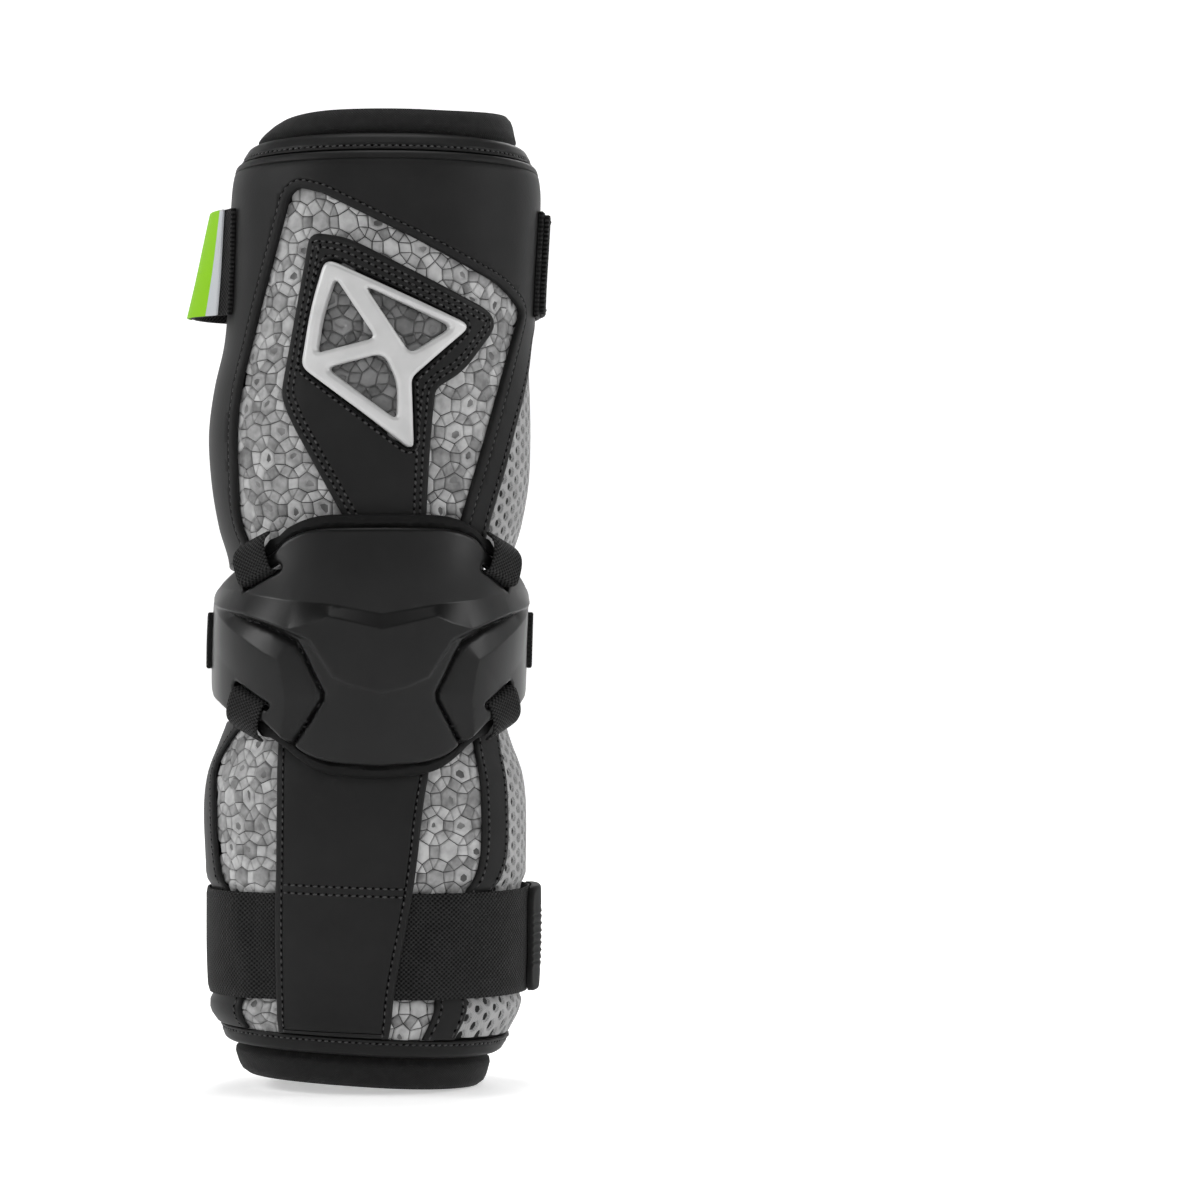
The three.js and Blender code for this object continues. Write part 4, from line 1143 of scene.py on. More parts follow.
# HOLE sizes the ball of painted shade in each needle hole, as shares of a lump.
HOLE = (0.62, 1.35, 0.85, 1)  # the same, as shares of a lump's
SLANT = 0.12


def walk(points, pitch, closed):
    """Places and directions along a line, one pitch apart."""
    path = points + points[:1] if closed else points
    left = pitch / 2
    for a, b in zip(path, path[1:]):
        length = (b - a).length
        while left <= length:
            yield a.lerp(b, left / length), math.atan2(b.y - a.y, b.x - a.x)
            left += pitch
        left -= length


def make_stitches(name, rows, lift_at=None, radius_at=arm_radius):
    """rows: each a line of flat points, its height above the pad, and whether it closes."""
    bm = bmesh.new()
    count = 0
    for points, lift, closed in rows:
        for place, turn in walk(points, STITCH_PITCH, closed):
            spot = (Matrix.Translation((place.x, place.y, lift)) @ Matrix.Rotation(turn + SLANT, 4, "Z")
                    @ Matrix.Diagonal(LUMP))
            bmesh.ops.create_icosphere(bm, subdivisions=1, radius=1, matrix=spot)
            count += 1
            # A near-black ball beside each lump is painted shade for the needle's hole.
            hole = spot @ Matrix.Translation((STITCH_PITCH / 1.75, 0, -0.3)) @ Matrix.Diagonal(HOLE)
            made = bmesh.ops.create_icosphere(bm, subdivisions=1, radius=1, matrix=hole)["verts"]
            for face in {face for vert in made for face in vert.link_faces}:
                face.material_index = 1
    wrap(bm, lift_at, radius_at)
    piece = finished(name, bm, [thread, needle_hole_shade], sharp=180, turn_out=False)
    print(name, "stitches:", count)
    return piece


# %% [markdown]
# ## The upper cover
# One piece of coated cloth runs over the shoulder of the pad and down both sides of a slanted
# window. It is cut flat, its edges are folded under, and a seam runs 2.6 mm in from each edge. The
# rings of insets make the fold's round and the seam's furrow follow the outline exactly.

# %% How a cover is made, and how its flat size is printed
SHELL_BASE, SHELL_WALL = 0.3, 2.2
KITE_WALL = 2.4
COVER_CELL = 2.6


def make_cover(name, loops, base, wall, rings, cell, lift_at=None, material=None, relief=None,
               radius_at=arm_radius, fine=None, sharp=38):
    """A cut piece: outlines, its height and wall, the rings of its edge, and how finely it is ruled."""
    bm = bmesh.new()
    faces = outline_faces(bm, loops, base)
    area = sum(face.calc_area() for face in faces)
    size = flat_size(bm)
    raise_slab(bm, faces, wall - sum(rise for _, rise in rings), rings)
    rule(bm, cell)
    if fine:
        fine(bm)
    if relief:
        for vert in bm.verts:
            if vert.co.z > base + wall / 2:
                vert.co.z += relief(turn_of(vert.co.x), vert.co.y)
    wrap(bm, lift_at, radius_at)
    piece = finished(name, bm, [material or coated_cloth], sharp)
    FLAT[name] = (*size, area)
    return piece


def declare_sheet(piece, with_pieces=()):
    width, length, area = FLAT[piece.name]
    print(piece.name, "flat size:", round(width), "x", round(length), "mm, area", round(area / 100), "cm2")
    list(with_pieces)


# %% [markdown]
# The cover's outline runs up the strip beside the mesh, along the top, down the back and then back up
# the window's side. Its two seams follow the window and the strip.

# %% Upper cover
SHELL_FOOT = 24.0
strip = edge_points(UPPER_STRIP, UPPER_LENGTH, 1, SHELL_FOOT, UPPER_LENGTH)
top_left, foot_left = (Vector((spread(COVER_BACK_LEFT), height)) for height in (UPPER_LENGTH, SHELL_FOOT))
window_side = [point for point in window if point.y > SHELL_FOOT]
top_edge = spaced([strip[-1], top_left], 4, False)[1:]
left_edge = spaced([top_left, foot_left], 4, False)[1:]
shell_outline = strip + top_edge + left_edge + window_side[::-1]
upper_shell = make_cover("upper_cover", [shell_outline], SHELL_BASE, SHELL_WALL, FOLDED_EDGE, COVER_CELL)
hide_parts("upper_shell")
SEAM_IN = 2.62
FURROW, ON_TOP = 0.22, 0.02  # how deep a thread lies in a furrow, or how high on a plain face
shell_top = SHELL_BASE + SHELL_WALL - FURROW
shell_seams = make_stitches("upper_cover_stitches", [
    (offset(window_side, SEAM_IN, closed=False), shell_top, False),
    (offset(strip, -SEAM_IN, closed=False), shell_top, False),
])
declare_sheet(upper_shell, [shell_seams])

# %% [markdown]
# ## The kite-shaped patch and its silver frame
# A stitched patch lies in the window and holds a moulded frame with three openings, through which
# the cells show behind a smoky film. The patch has a hole for the frame, so it is filled from two
# outlines. The frame's bars get a bevelled top from two insets.

# %% Patch
frame_outline = from_front(FRAME_ROWS)


def signed_area(points):
    return sum(points[i - 1].x * point.y - point.x * points[i - 1].y for i, point in enumerate(points)) / 2


def grown(points, margin):
    """A closed outline made larger all round by a margin, or smaller by a negative one."""
    return offset(points, margin if signed_area(points) > 0 else -margin)


PATCH_EDGE = [(0.3, 0.45), (0.5, 0.28), (0.5, 0.1)]
patch = make_cover("kite_patch_cloth", [kite, grown(frame_outline, 0.9)], SHELL_BASE, KITE_WALL, PATCH_EDGE,
                   COVER_CELL)
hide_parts("kite_patch")
patch_top = SHELL_BASE + KITE_WALL + ON_TOP
patch_seams = make_stitches("kite_patch_stitches", [
    (grown(kite, -2.6), patch_top, True), (grown(kite, -4.6), patch_top, True),
    (grown(frame_outline, 2.2), patch_top, True),
])
declare_sheet(patch, [patch_seams])

# %% [markdown]
# Behind the openings lies a thin film, cut to the frame's outline, with cells of its own tone on it. A
# film that lets light through would be truer, but at this size it shows as blurred cells all the same.

# %% Film and frame
FILM_WALL, FRAME_WALL, FRAME_LIFT, FRAME_CELL = 0.6, 3.4, 1.3, 2.4
film = make_cover("vent_film_smoke", [frame_outline], SHELL_BASE - 0.3, FILM_WALL, [(0.3, 0.1)], FRAME_CELL,
                  material=vent_film)
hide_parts("vent_backing")
declare_sheet(film)
grown_frame = grown(frame_outline, -1.5)
FILM_OVER_CELLS = 1.2
# The film's grooves take the darker line finish: painted shade.
vent_cells = make_cells("cells_behind_vents", (Vector((-30, 60)), Vector((45, 140))),
                        lambda place: inside(place, grown_frame), no_squeeze, 9,
                        [vent_film, vent_groove_shade, vent_film], FILM_OVER_CELLS)
vents = [from_front(rows) for rows in VENT_ROWS]
FRAME_EDGE = [(0.35, 0.5), (0.9, 0.5), (0.25, 0.05)]
vent_frame = make_cover("silver_vent_frame", [frame_outline] + vents, SHELL_BASE + FRAME_LIFT, FRAME_WALL,
                        FRAME_EDGE, FRAME_CELL, material=silver_paint)
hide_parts("vent_frame")

# %% [markdown]
# ## The forearm covers
# Three covers leave two windows of cells open: a wide panel up the middle with a double seam across
# it, a side panel on the left, and a narrow trim strip over the seam between the cells and the mesh.

# %% Lower covers
PANEL_WALL, TRIM_WALL = 2.0, 1.6


def between(left, right):
    """A closed outline from a left and a right edge, each listed from the foot up."""
    return left + right[::-1]


def on_pad(degrees, height):
    return -squeeze(height)


panel_edges = [lower_edge(PANEL_LEFT), lower_edge(PANEL_RIGHT)]
centre_panel = make_cover("lower_centre_cover", [between(*panel_edges)], SHELL_BASE, PANEL_WALL, FOLDED_EDGE,
                          COVER_CELL)
trim_edges = [lower_edge(TRIM_LEFT), lower_edge(TRIM_RIGHT)]
NARROW_EDGE = [(0.3, 0.45), (0.45, 0.2), (0.5, 0.1)]
trim = make_cover("lower_trim_strip", [between(*trim_edges)], SHELL_BASE, TRIM_WALL, NARROW_EDGE, COVER_CELL,
                  on_pad)
back_edge = [Vector((spread(COVER_BACK_LEFT), point.y)) for point in lower_edge(SIDE)]
side_panel = make_cover("lower_side_cover", [between(back_edge, lower_edge(SIDE))], SHELL_BASE, TRIM_WALL,
                        NARROW_EDGE, COVER_CELL, on_pad)
lower_covers = ((centre_panel, "lower_centre_panel"), (trim, "lower_trim"), (side_panel, "lower_left_panel"))
for piece, node in lower_covers:
    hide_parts(node)


# %% [markdown]
# Seams lie in the furrow of a folded edge, or on top of a narrow one. The flat sizes of the two mesh
# pieces are printed here as well.

# %% Seams of the lower covers
def across_panel(at):
    """A seam across the centre panel at a height share, lower on the right."""
    height = at * LOWER_LENGTH
    ends = [spread(lower_turn(column)(height)) for column in (PANEL_LEFT, PANEL_RIGHT)]
    tilt = 0.8
    return spaced([Vector((ends[0] + 3, height + tilt)), Vector((ends[1] - 3, height - tilt))], 4, False)


panel_top = SHELL_BASE + PANEL_WALL - 0.2
panel_seams = make_stitches("lower_centre_stitches", [
    (offset(panel_edges[0], SEAM_IN, closed=False), panel_top, False),
    (offset(panel_edges[1], -SEAM_IN, closed=False), panel_top, False),
    (across_panel(-0.617), panel_top + 0.2, False), (across_panel(-0.637), panel_top + 0.2, False),
])
trim_top = SHELL_BASE + TRIM_WALL + ON_TOP
trim_seams = make_stitches("lower_trim_stitches", [
    (offset(trim_edges[0], 2.0, closed=False), trim_top, False),
    (offset(trim_edges[1], -2.0, closed=False), trim_top, False),
    (offset(lower_edge(SIDE), -2.2, closed=False), trim_top, False),
], on_pad)
for piece, seams in ((centre_panel, [panel_seams]), (trim, [trim_seams]), (side_panel, [])):
    declare_sheet(piece, seams)
declare_sheet(upper_mesh)
declare_sheet(lower_mesh)

# %% [markdown]
# ## The collars
# A folded band of coated cloth binds the pads to the sleeve at each end. Its upper edge is a soft
# roll, a seam holds it near its other edge, and a furrow parts it from the cover below.

# %% Collars
COLLAR, COLLAR_LIFT, ROLL_DEPTH = 7.0, 1.3, 3.4
SEAM_SHARE = 0.76  # where the seam lies, from the round edge to the other
PUCKERS = 30
PANEL_TO_BACK = 165
ROUND_COLUMNS = 132


def behind(degrees):
    """Share of the way from the pads' face down to the bare sleeve at the back of the arm."""
    return step(PAD_BACK_RIGHT, PANEL_TO_BACK, abs(degrees))


def collar_lift(degrees, height):
    back = liner_lift(degrees, height) + LINER_GAP + PANEL_WALL
    return mix(COLLAR_LIFT, back, behind(degrees))


def make_collar(name, node, low, high, roll_up):
    """roll_up is 1 where the round edge is the upper one, and -1 where it is the lower one."""
    bm = bmesh.new()
    ring_grid(bm, low, high, ROUND_COLUMNS, 14)
    inner = doubled(bm)
    for vert in bm.verts:
        degrees, height = turn_of(vert.co.x), vert.co.y
        share = (height - low) / (high - low)
        from_roll = 1 - share if roll_up > 0 else share
        if vert in inner:
            vert.co.z = liner_lift(degrees, height) + 0.3
        else:
            roll = ROLL_DEPTH * (1 - math.sqrt(max(0, 1 - (1 - clamp(from_roll / 0.3)) ** 2)))
            furrow = 0.55 * math.exp(-((from_roll - SEAM_SHARE) / 0.07) ** 2) + 0.9 * step(0.9, 1, from_roll)
            pucker = 0.14 * math.sin(math.radians(degrees * PUCKERS)) * step(0.3, 0.8, from_roll)
            vert.co.z = collar_lift(degrees, height) - roll - furrow + pucker
    close_ring(bm)
    collar = finished(name, bm, [coated_cloth], sharp=60)
    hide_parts(node)
    seam = high - SEAM_SHARE * (high - low) if roll_up > 0 else low + SEAM_SHARE * (high - low)
    line = spaced([Vector((-HALF_ROUND, seam)), Vector((HALF_ROUND, seam))], 4, False)
    make_stitches(name + "_stitches", [(line, -0.4, False)], collar_lift)


SEAT = 0.3  # the hair's breadth between a piece and what carries it
make_collar("upper_collar_band", "top_collar", UPPER_LENGTH + SEAT, UPPER_LENGTH + COLLAR, 1)
make_collar("lower_collar_band", "bottom_collar", -LOWER_LENGTH - COLLAR, -LOWER_LENGTH - SEAT, -1)

# %% [markdown]
# ## The elbow cap
# The cap is a hard moulded shell. Its blank is cut to the cap's outline with four slots, and the
# relief is then pressed into its outer face: a plate across the top, a V-shaped boss below it, and
# two wings with a sharp groove before each. Lines measured along those creases give the relief, so
# the creases come out crisp, which sculpting a coarse mesh wouldn't do.

# %% Cap form
CAP_HALF_WIDTH, CAP_DEPTH = 56.5, PAD_HALF_DEPTH + 17
CAP_RISE, CAP_FALL = 39.5, 43.0
CAP_TURN, CAP_HALF_TURN, CAP_WALL = 6.5, 90.0, 2.5
CAP_SECTIONS = [  # height share, half width, half depth
    (-1.2, 0.955, 0.85), (-1.0, 0.984, 0.905), (-0.47, 0.995, 0.98), (0.0, 1.0, 1.0),
    (0.5, 0.995, 0.965), (1.0, 0.984, 0.897), (1.25, 0.965, 0.87),
]
CAP_EDGE = [  # share of the half turn, top as a share of the rise, foot as a share of the fall
    (0.0, 1.0, -1.0), (0.17, 0.995, -0.97), (0.25, 0.985, -0.92), (0.32, 0.95, -0.82), (0.38, 0.88, -0.71),
    (0.43, 0.77, -0.64), (0.58, 0.67, -0.59), (0.7, 0.56, -0.51), (0.84, 0.44, -0.46), (0.95, 0.32, -0.38),
    (1.0, 0.17, -0.26),
]
CAP_LINES = {  # creases on the right half: degrees aside from the cap's middle, height in mm
    "plate": [(0, 9.6), (9, 11.4), (18.5, 13.2), (31, 14.4), (42, 16), (55, 18), (90, 20)],
    "band": [(0, 4.4), (10.5, 7.3), (16, 8.8), (21, 6.4), (28, 4.4), (35.5, 6.8), (46, 9.8), (64, 12.6),
             (90, 15)],
    "rise": [(80, 15), (64, 12.5), (46, 9.7), (35.5, 6.6), (28, 3.9), (21, 0.5), (17, -6.3), (13.9, -12),
             (7.2, -15.4), (0, -17.3), (-3, -16.6)],
    "groove": [(52, 9.8), (40, 6.4), (33, 3.7), (25.8, -0.3), (23.2, -5.1), (20.3, -11.8), (17.7, -17.6),
               (18, -20.1), (22.3, -27.1), (27.7, -34.6), (32, -41)],
    "crease": [(70, 13), (56, 7), (45, 1.6), (36, -3.8), (31, -6.2), (29.8, -10.5), (28.7, -20.2), (31, -34)],
}
CAP_MM = math.tau * 62 / 360  # millimetres to a degree round the cap
CAP_PATHS = {name: [Vector((aside * CAP_MM, height)) for aside, height in rows]
             for name, rows in CAP_LINES.items()}
print("creases on each half of the cap:", len(CAP_LINES))


# %% [markdown]
# The relief at a point depends on how far it lies from each crease, and on which side. Between two
# creases the height is mixed, and across one it jumps, so the crease is as sharp as a moulded one.

# %% Distances to the creases, and the relief that they give
PLATE_STEP, BOSS_RISE, WING_LOW, WING_HIGH = 3.0, 1.9, 0.4, 3.1
NOTCH_DEPTH, NOTCH_WIDTH = 1.2, 0.8


def cap_point(degrees, height):
    """A place on the cap's right half, or the same place mirrored, in millimetres."""
    return Vector((abs(degrees - CAP_TURN) * CAP_MM, height))


def nearest(name, point):
    """Distance to a crease in mm, negative on the side towards the cap's middle and top, and where."""
    best = None
    for a, b in zip(CAP_PATHS[name], CAP_PATHS[name][1:]):
        along, off = b - a, point - a
        near = a + along * clamp(off.dot(along) / along.length_squared)
        distance = (point - near).length
        if best is None or distance < abs(best[0]) - 1e-6:
            best = math.copysign(distance, along.x * off.y - along.y * off.x), near
    return best


def gap_to(name, point):
    return nearest(name, point)[0]


def cap_radius(degrees, height):
    at = height / (CAP_RISE if height > 0 else CAP_FALL)
    wide, deep = (smooth(CAP_SECTIONS, at, column) for column in (1, 2))
    return oval(math.radians(degrees), CAP_HALF_WIDTH * wide, CAP_DEPTH * deep)


def cap_relief(degrees, height):
    """Millimetres above the cap's plain face."""
    point = cap_point(degrees, height)
    aside = abs(degrees - CAP_TURN)
    plate, band = straight(CAP_LINES["plate"], aside), straight(CAP_LINES["band"], aside)
    upper = PLATE_STEP * clamp((plate - height) / (plate - band))
    below, groove, crease = (gap_to(name, point) for name in ("rise", "groove", "crease"))
    fade = 1 - step(38, 52, aside)
    lower = BOSS_RISE - 1.3 * math.exp(-max(0, -groove) / 1.6) * fade - 0.04 * max(0, below)
    if groove > 0:
        lower = mix(WING_LOW, WING_HIGH, groove / (groove + max(0, -crease))) - 0.09 * clamp(crease, 0, 14)
        lower *= 1 - 0.6 * step(48, 85, aside)
    notch = NOTCH_DEPTH * math.exp(-(groove / NOTCH_WIDTH) ** 2) * fade * step(0, 0.6, below)
    return (mix(upper, lower, step(-0.6, 1.2, below)) - notch) * (1 - step(58, 84, aside))


# %% [markdown]
# A grid of one millimetre would blur the creases, and a finer one all over would be heavy. So only the
# cells along the creases are divided again, and the points nearest the groove are laid on it.

# %% Finer cells along the creases
CREASE_REACH, SNAP, FACE_DEPTH = 1.6, 0.24, -1.0


def near_crease(vert):
    point = cap_point(turn_of(vert.co.x), vert.co.y)
    aside = abs(turn_of(vert.co.x) - CAP_TURN)
    gaps = [gap_to(name, point) for name in ("rise", "groove", "crease")]
    gaps += [straight(CAP_LINES[name], aside) - vert.co.y for name in ("plate", "band")]
    return vert.co.z > FACE_DEPTH and min(map(abs, gaps)) < CREASE_REACH


def refine_creases(bm):
    """Divides the blank finely along its creases, and lays the nearest points on the groove itself."""
    near = {vert for vert in bm.verts if near_crease(vert)}
    edges = [edge for edge in bm.edges if edge.verts[0] in near and edge.verts[1] in near]
    bmesh.ops.subdivide_edges(bm, edges=edges, cuts=2, use_grid_fill=True)
    for vert in bm.verts:
        degrees = turn_of(vert.co.x)
        gap, place = nearest("groove", cap_point(degrees, vert.co.y))
        if vert.co.z > FACE_DEPTH and abs(gap) < SNAP:
            vert.co.x = spread(CAP_TURN + math.copysign(place.x / CAP_MM, degrees - CAP_TURN))
            vert.co.y = place.y


def cap_outline(reach=None, side=1.0):
    """The cap's outline, or one that reaches past it by some millimetres at each share of its side."""
    parts = 96
    edges = []
    for column, length, outward in ((1, CAP_RISE, 1), (2, CAP_FALL, -1)):
        edge = []
        for share in (mix(-side, side, i / parts) for i in range(parts + 1)):
            past = reach(abs(share)) * outward if reach else 0
            edge.append(Vector((spread(CAP_TURN + share * CAP_HALF_TURN),
                                smooth(CAP_EDGE, abs(share), column) * length + past)))
        edges.append(edge)
    return spaced(edges[0][::-1] + edges[1], 3, True)


# %% [markdown]
# Four slots near the corners let the webbing through. They are holes in the blank's outline, so their
# walls come with the slab's. The soft base below the cap has the same slots, a little wider.

# %% Slots, on the cap's own curved face
SLOTS = [  # side, aside as a share of the half turn, height, rise along the slot, way to the edge
    ("upper_left", -1, 0.472, 0.565 * CAP_RISE, -0.4, 1),
    ("upper_right", 1, 0.472, 0.565 * CAP_RISE, -0.4, 1),
    ("lower_left", -1, 0.478, -0.44 * CAP_FALL, 0.42, -1),
    ("lower_right", 1, 0.478, -0.44 * CAP_FALL, 0.42, -1),
]
SLOT_LENGTH, SLOT_WIDTH = 18.0, 2.8


def slot_loop(row, margin):
    """A slot's outline in the flat pattern, which is drawn for the arm and so is a little short."""
    _, side, share, height, rise, _ = row
    middle = Vector((spread(CAP_TURN + side * share * CAP_HALF_TURN), height))
    diagonal = 45
    shorter = arm_radius(diagonal, 0) / cap_radius(diagonal, 0)
    along = Vector((side * shorter, rise)).normalized()
    across = Vector((-along.y, along.x))
    half, wide = SLOT_LENGTH / 2 * 0.92 + margin, SLOT_WIDTH / 2 + margin
    corners = [middle + along * (u * half) + across * (v * wide)
               for u, v in ((-1, -1), (1, -1), (1, 1), (-1, 1))]
    return rounded([(*corner, wide * 0.8) for corner in corners], 2.0)


CAP_RIM = [(0.25, 0.45), (0.4, 0.3), (0.5, 0.12)]
CAP_CELL = 1.0
cap_loops = [cap_outline()] + [slot_loop(row, 0) for row in SLOTS]
cap = make_cover("elbow_cap_shell", cap_loops, -CAP_WALL, CAP_WALL, CAP_RIM, CAP_CELL, material=cap_plastic,
                 relief=cap_relief, radius_at=cap_radius, fine=refine_creases, sharp=75)
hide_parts("elbow_cap")

# %% [markdown]
# The base is moulded rubber. It reaches past the cap at the top and at the foot and turns up round its
# edge, so it is a larger copy of the cap's outline with a lip.

# %% Soft base, whose lip shows round the cap at the top and the foot
BASE_EDGE = [(0, 4.7), (0.36, 4.9), (0.46, 6.6), (0.53, 0.9), (0.6, -1.9), (0.72, -1.9)]  # share, reach past
BASE_RIM = [(0.35, 0.7), (0.6, 0.5), (0.9, 0.25), (1.0, 0.05)]
BASE_SIDE, BASE_WALL, LIP_RISE = 0.72, 2.0, 1.5


def base_roll(degrees, height):
    """The base's lip stands up round the cap's edge."""
    share = abs(degrees - CAP_TURN) / CAP_HALF_TURN
    top, foot = smooth(CAP_EDGE, share, 1) * CAP_RISE, smooth(CAP_EDGE, share, 2) * CAP_FALL
    past = max(height - top, foot - height)
    return LIP_RISE * step(0.2, 1.4, past)


base_loops = [cap_outline(lambda share: straight(BASE_EDGE, share), BASE_SIDE)]
base_loops += [slot_loop(row, 0.5) for row in SLOTS]
base = make_cover("elbow_cap_base", base_loops, -CAP_WALL - BASE_WALL - SEAT, BASE_WALL, BASE_RIM, 1.5,
                  material=cap_rubber, relief=base_roll, radius_at=cap_radius)
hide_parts("cap_base")

# %% [markdown]
# Short webbing loops come up through the slots, lie over the cap's edge and go down to the pad. Each is
# a grid of two layers that is bent along a path, so the webbing's UV map runs along it unbroken.

# %% Webbing loops
LOOP_WIDTH, LOOP_WALL = 15.0, 1.4
LOOP_UV_HALF = 11
LOOP_PATH = [  # share of the way, run towards the edge in mm, height above the cap's face in mm
    (0.0, 0.3, -3.4), (0.2, 0.5, 1.0), (0.32, 1.7, 1.8), (0.64, 7.5, 1.4), (0.84, 11.1, -0.5),
    (1.0, 13.5, -4.4),
]


def make_loop(row):
    """A strip bent along its path, from its slot over the cap's edge."""
    name, side, share, height, rise, way = row
    degrees = CAP_TURN + side * share * CAP_HALF_TURN
    turn = math.radians(degrees)
    out = Vector((math.sin(turn), -math.cos(turn), 0))
    lengthwise = (Vector((math.cos(turn), math.sin(turn), 0)) * side + Vector((0, 0, rise))).normalized()
    edgeward = out.cross(lengthwise).normalized()
    if edgeward.z * way < 0:
        edgeward.negate()
    origin = place_at(degrees, height, cap_radius(degrees, height))
    bm = bmesh.new()
    bmesh.ops.create_grid(bm, x_segments=12, y_segments=30, size=1)
    uv = bm.loops.layers.uv.new("UVMap")
    bmesh.ops.translate(bm, verts=bm.verts[:], vec=(0, 1, 0))
    bmesh.ops.translate(bm, verts=list(doubled(bm)), vec=(0, 0, 1))
    for face in bm.faces:
        for loop in face.loops:
            loop[uv].uv = (loop.vert.co.x * LOOP_WIDTH / 2 * MM, loop.vert.co.y * LOOP_UV_HALF * MM)
    for vert in bm.verts:
        u, t, layer = vert.co.x, vert.co.y / 2, vert.co.z
        spots = [Vector([smooth(LOOP_PATH, clamp(t + d), column) for column in (1, 2)])
                 for d in (-0.02, 0, 0.02)]
        normal = Vector((spots[0].y - spots[2].y, spots[2].x - spots[0].x)).normalized()
        thin = 0.3 * step(0.86, 1, abs(u))
        spot = spots[1] + normal * LOOP_WALL * (thin if layer < 0.5 else 1 - thin)
        vert.co = origin + (lengthwise * u * LOOP_WIDTH / 2 + edgeward * spot.x + out * spot.y) * MM
    loop = finished("cap_loop_" + name, bm, [webbing], sharp=50)
    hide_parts("cap_strap_" + name)
    path = [Vector(row[1:]) for row in LOOP_PATH]
    length = sum((b - a).length for a, b in zip(path, path[1:]))


for row in SLOTS:
    make_loop(row)

# %% [markdown]
# ## The straps
# Webbing straps go round the back of the arm, and their free ends lie over them on the right. Each
# one's lift follows what it lies on: the covers at the sides, the sleeve behind, and the forearm
# strap presses into its pad. A moulded pull with ribs ends the forearm strap. The upper strap bows
# out on the left, where a woven label is sewn to it.

# %% Outlines of the straps, and what they lie on
STRAP_WALL = 1.6
STRAP_CELL = 3.0
ELBOW_WIDTH = 20.0
BULGE = 11.0  # how far the upper strap bows out on the left
UPPER_TURNS, UPPER_TAB, LABEL_TURNS = (80, 292), (82, 122), (262, 286)


def strip_outline(turns, middle, width, corner=0.6):
    low, high = (spread(turn) if turn <= 180 else 2 * HALF_ROUND - spread(360 - turn) for turn in turns)
    half = width / 2
    rows = [(low, middle - half, corner), (high, middle - half, corner),
            (high, middle + half, corner), (low, middle + half, corner)]
    return rounded(rows, 3.0)


def upper_strap_lift(degrees, height):
    back = liner_lift(degrees, height) + LINER_GAP
    low = (UPPER_STRAP + STRAP_HALF - height) / (2 * STRAP_HALF)
    bulge = BULGE * step(68, 92, -degrees) * (1 - step(100, 150, -degrees)) * mix(0.45, 1.1, low)
    return mix(SHELL_BASE + SHELL_WALL + SEAT, back, behind(degrees)) + bulge


def forearm_strap_lift(degrees, height):
    side, trim_left = lower_turn(SIDE)(height), lower_turn(TRIM_LEFT)(height)
    over = max(1 - step(side + 7, side + 14, degrees), step(trim_left - 14, trim_left - 7, degrees))
    on_cells = -STRAP_PRESS + SEAT + (TRIM_WALL + SEAT) * over
    return mix(on_cells, liner_lift(degrees, height) + LINER_GAP, behind(degrees))


def elbow_strap_lift(degrees, height):
    aside = abs(degrees - CAP_TURN)
    aside = min(aside, 360 - aside)
    on_cap = cap_radius(degrees, height) - arm_radius(degrees, height) + SEAT
    return mix(on_cap, liner_lift(degrees, height) + LINER_GAP, step(CAP_HALF_TURN, 150, aside))


def seamed_end(turns, middle, width):
    """A stitched box round a strap's end."""
    return offset(strip_outline(turns, middle, width, 1.5), -2.0)


# %% [markdown]
# The upper strap passes over the cover and bows out on the left. Its free end lies on it at the right
# and is sewn down in a box. The elastic runs from one side of the cap to the other behind the elbow.

# %% Upper strap, its stitched end and the elbow's elastic
TAB_WIDTH = 2 * STRAP_HALF - 2
upper_strap = make_cover("upper_strap_webbing", [strip_outline(UPPER_TURNS, UPPER_STRAP, 2 * STRAP_HALF)], 0,
                         STRAP_WALL, PLAIN_EDGE, STRAP_CELL, upper_strap_lift, webbing)
elbow_turns = (CAP_TURN + 80, CAP_TURN + 280)
elbow_strap = make_cover("elbow_strap_elastic", [strip_outline(elbow_turns, 0, ELBOW_WIDTH)], 0,
                         STRAP_WALL, PLAIN_EDGE, STRAP_CELL, elbow_strap_lift, elastic)
upper_tab = make_cover("upper_strap_end", [strip_outline(UPPER_TAB, UPPER_STRAP, TAB_WIDTH, 2.5)],
                       STRAP_WALL + SEAT, STRAP_WALL, PLAIN_EDGE, STRAP_CELL, upper_strap_lift, webbing)
strap_nodes = ((upper_strap, "upper_strap"), (elbow_strap, "elbow_strap"), (upper_tab, "upper_strap_tab"))
for piece, node in strap_nodes:
    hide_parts(node)
declare_sheet(upper_strap)
declare_sheet(elbow_strap)

# %% [markdown]
# This strap closes on itself, so it can't be a strip with two ends. A grid goes once round, its ends are
# merged, and its edges thin out as woven edges do.

# %% The forearm strap goes all the way round
FOREARM_TAB = (78, 112)
FOREARM_WIDTH = 37.4


def make_forearm_strap():
    """A ring of webbing whose two edges thin out."""
    bm = bmesh.new()
    half = FOREARM_WIDTH / 2
    ring_grid(bm, FOREARM_STRAP - half, FOREARM_STRAP + half, ROUND_COLUMNS, 16)
    inner = doubled(bm)
    for vert in bm.verts:
        thin = 0.45 * step(half - 1.3, half, abs(vert.co.y - FOREARM_STRAP))
        vert.co.z = thin if vert in inner else STRAP_WALL - thin
    close_ring(bm, forearm_strap_lift)
    return finished("forearm_strap_webbing", bm, [webbing], sharp=50)


forearm_strap = make_forearm_strap()
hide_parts("forearm_strap")


# %% [markdown]
# The pull is a moulded tongue at the end of the forearm strap. It swells in its middle, and low ribs
# across it give the fingers a hold.

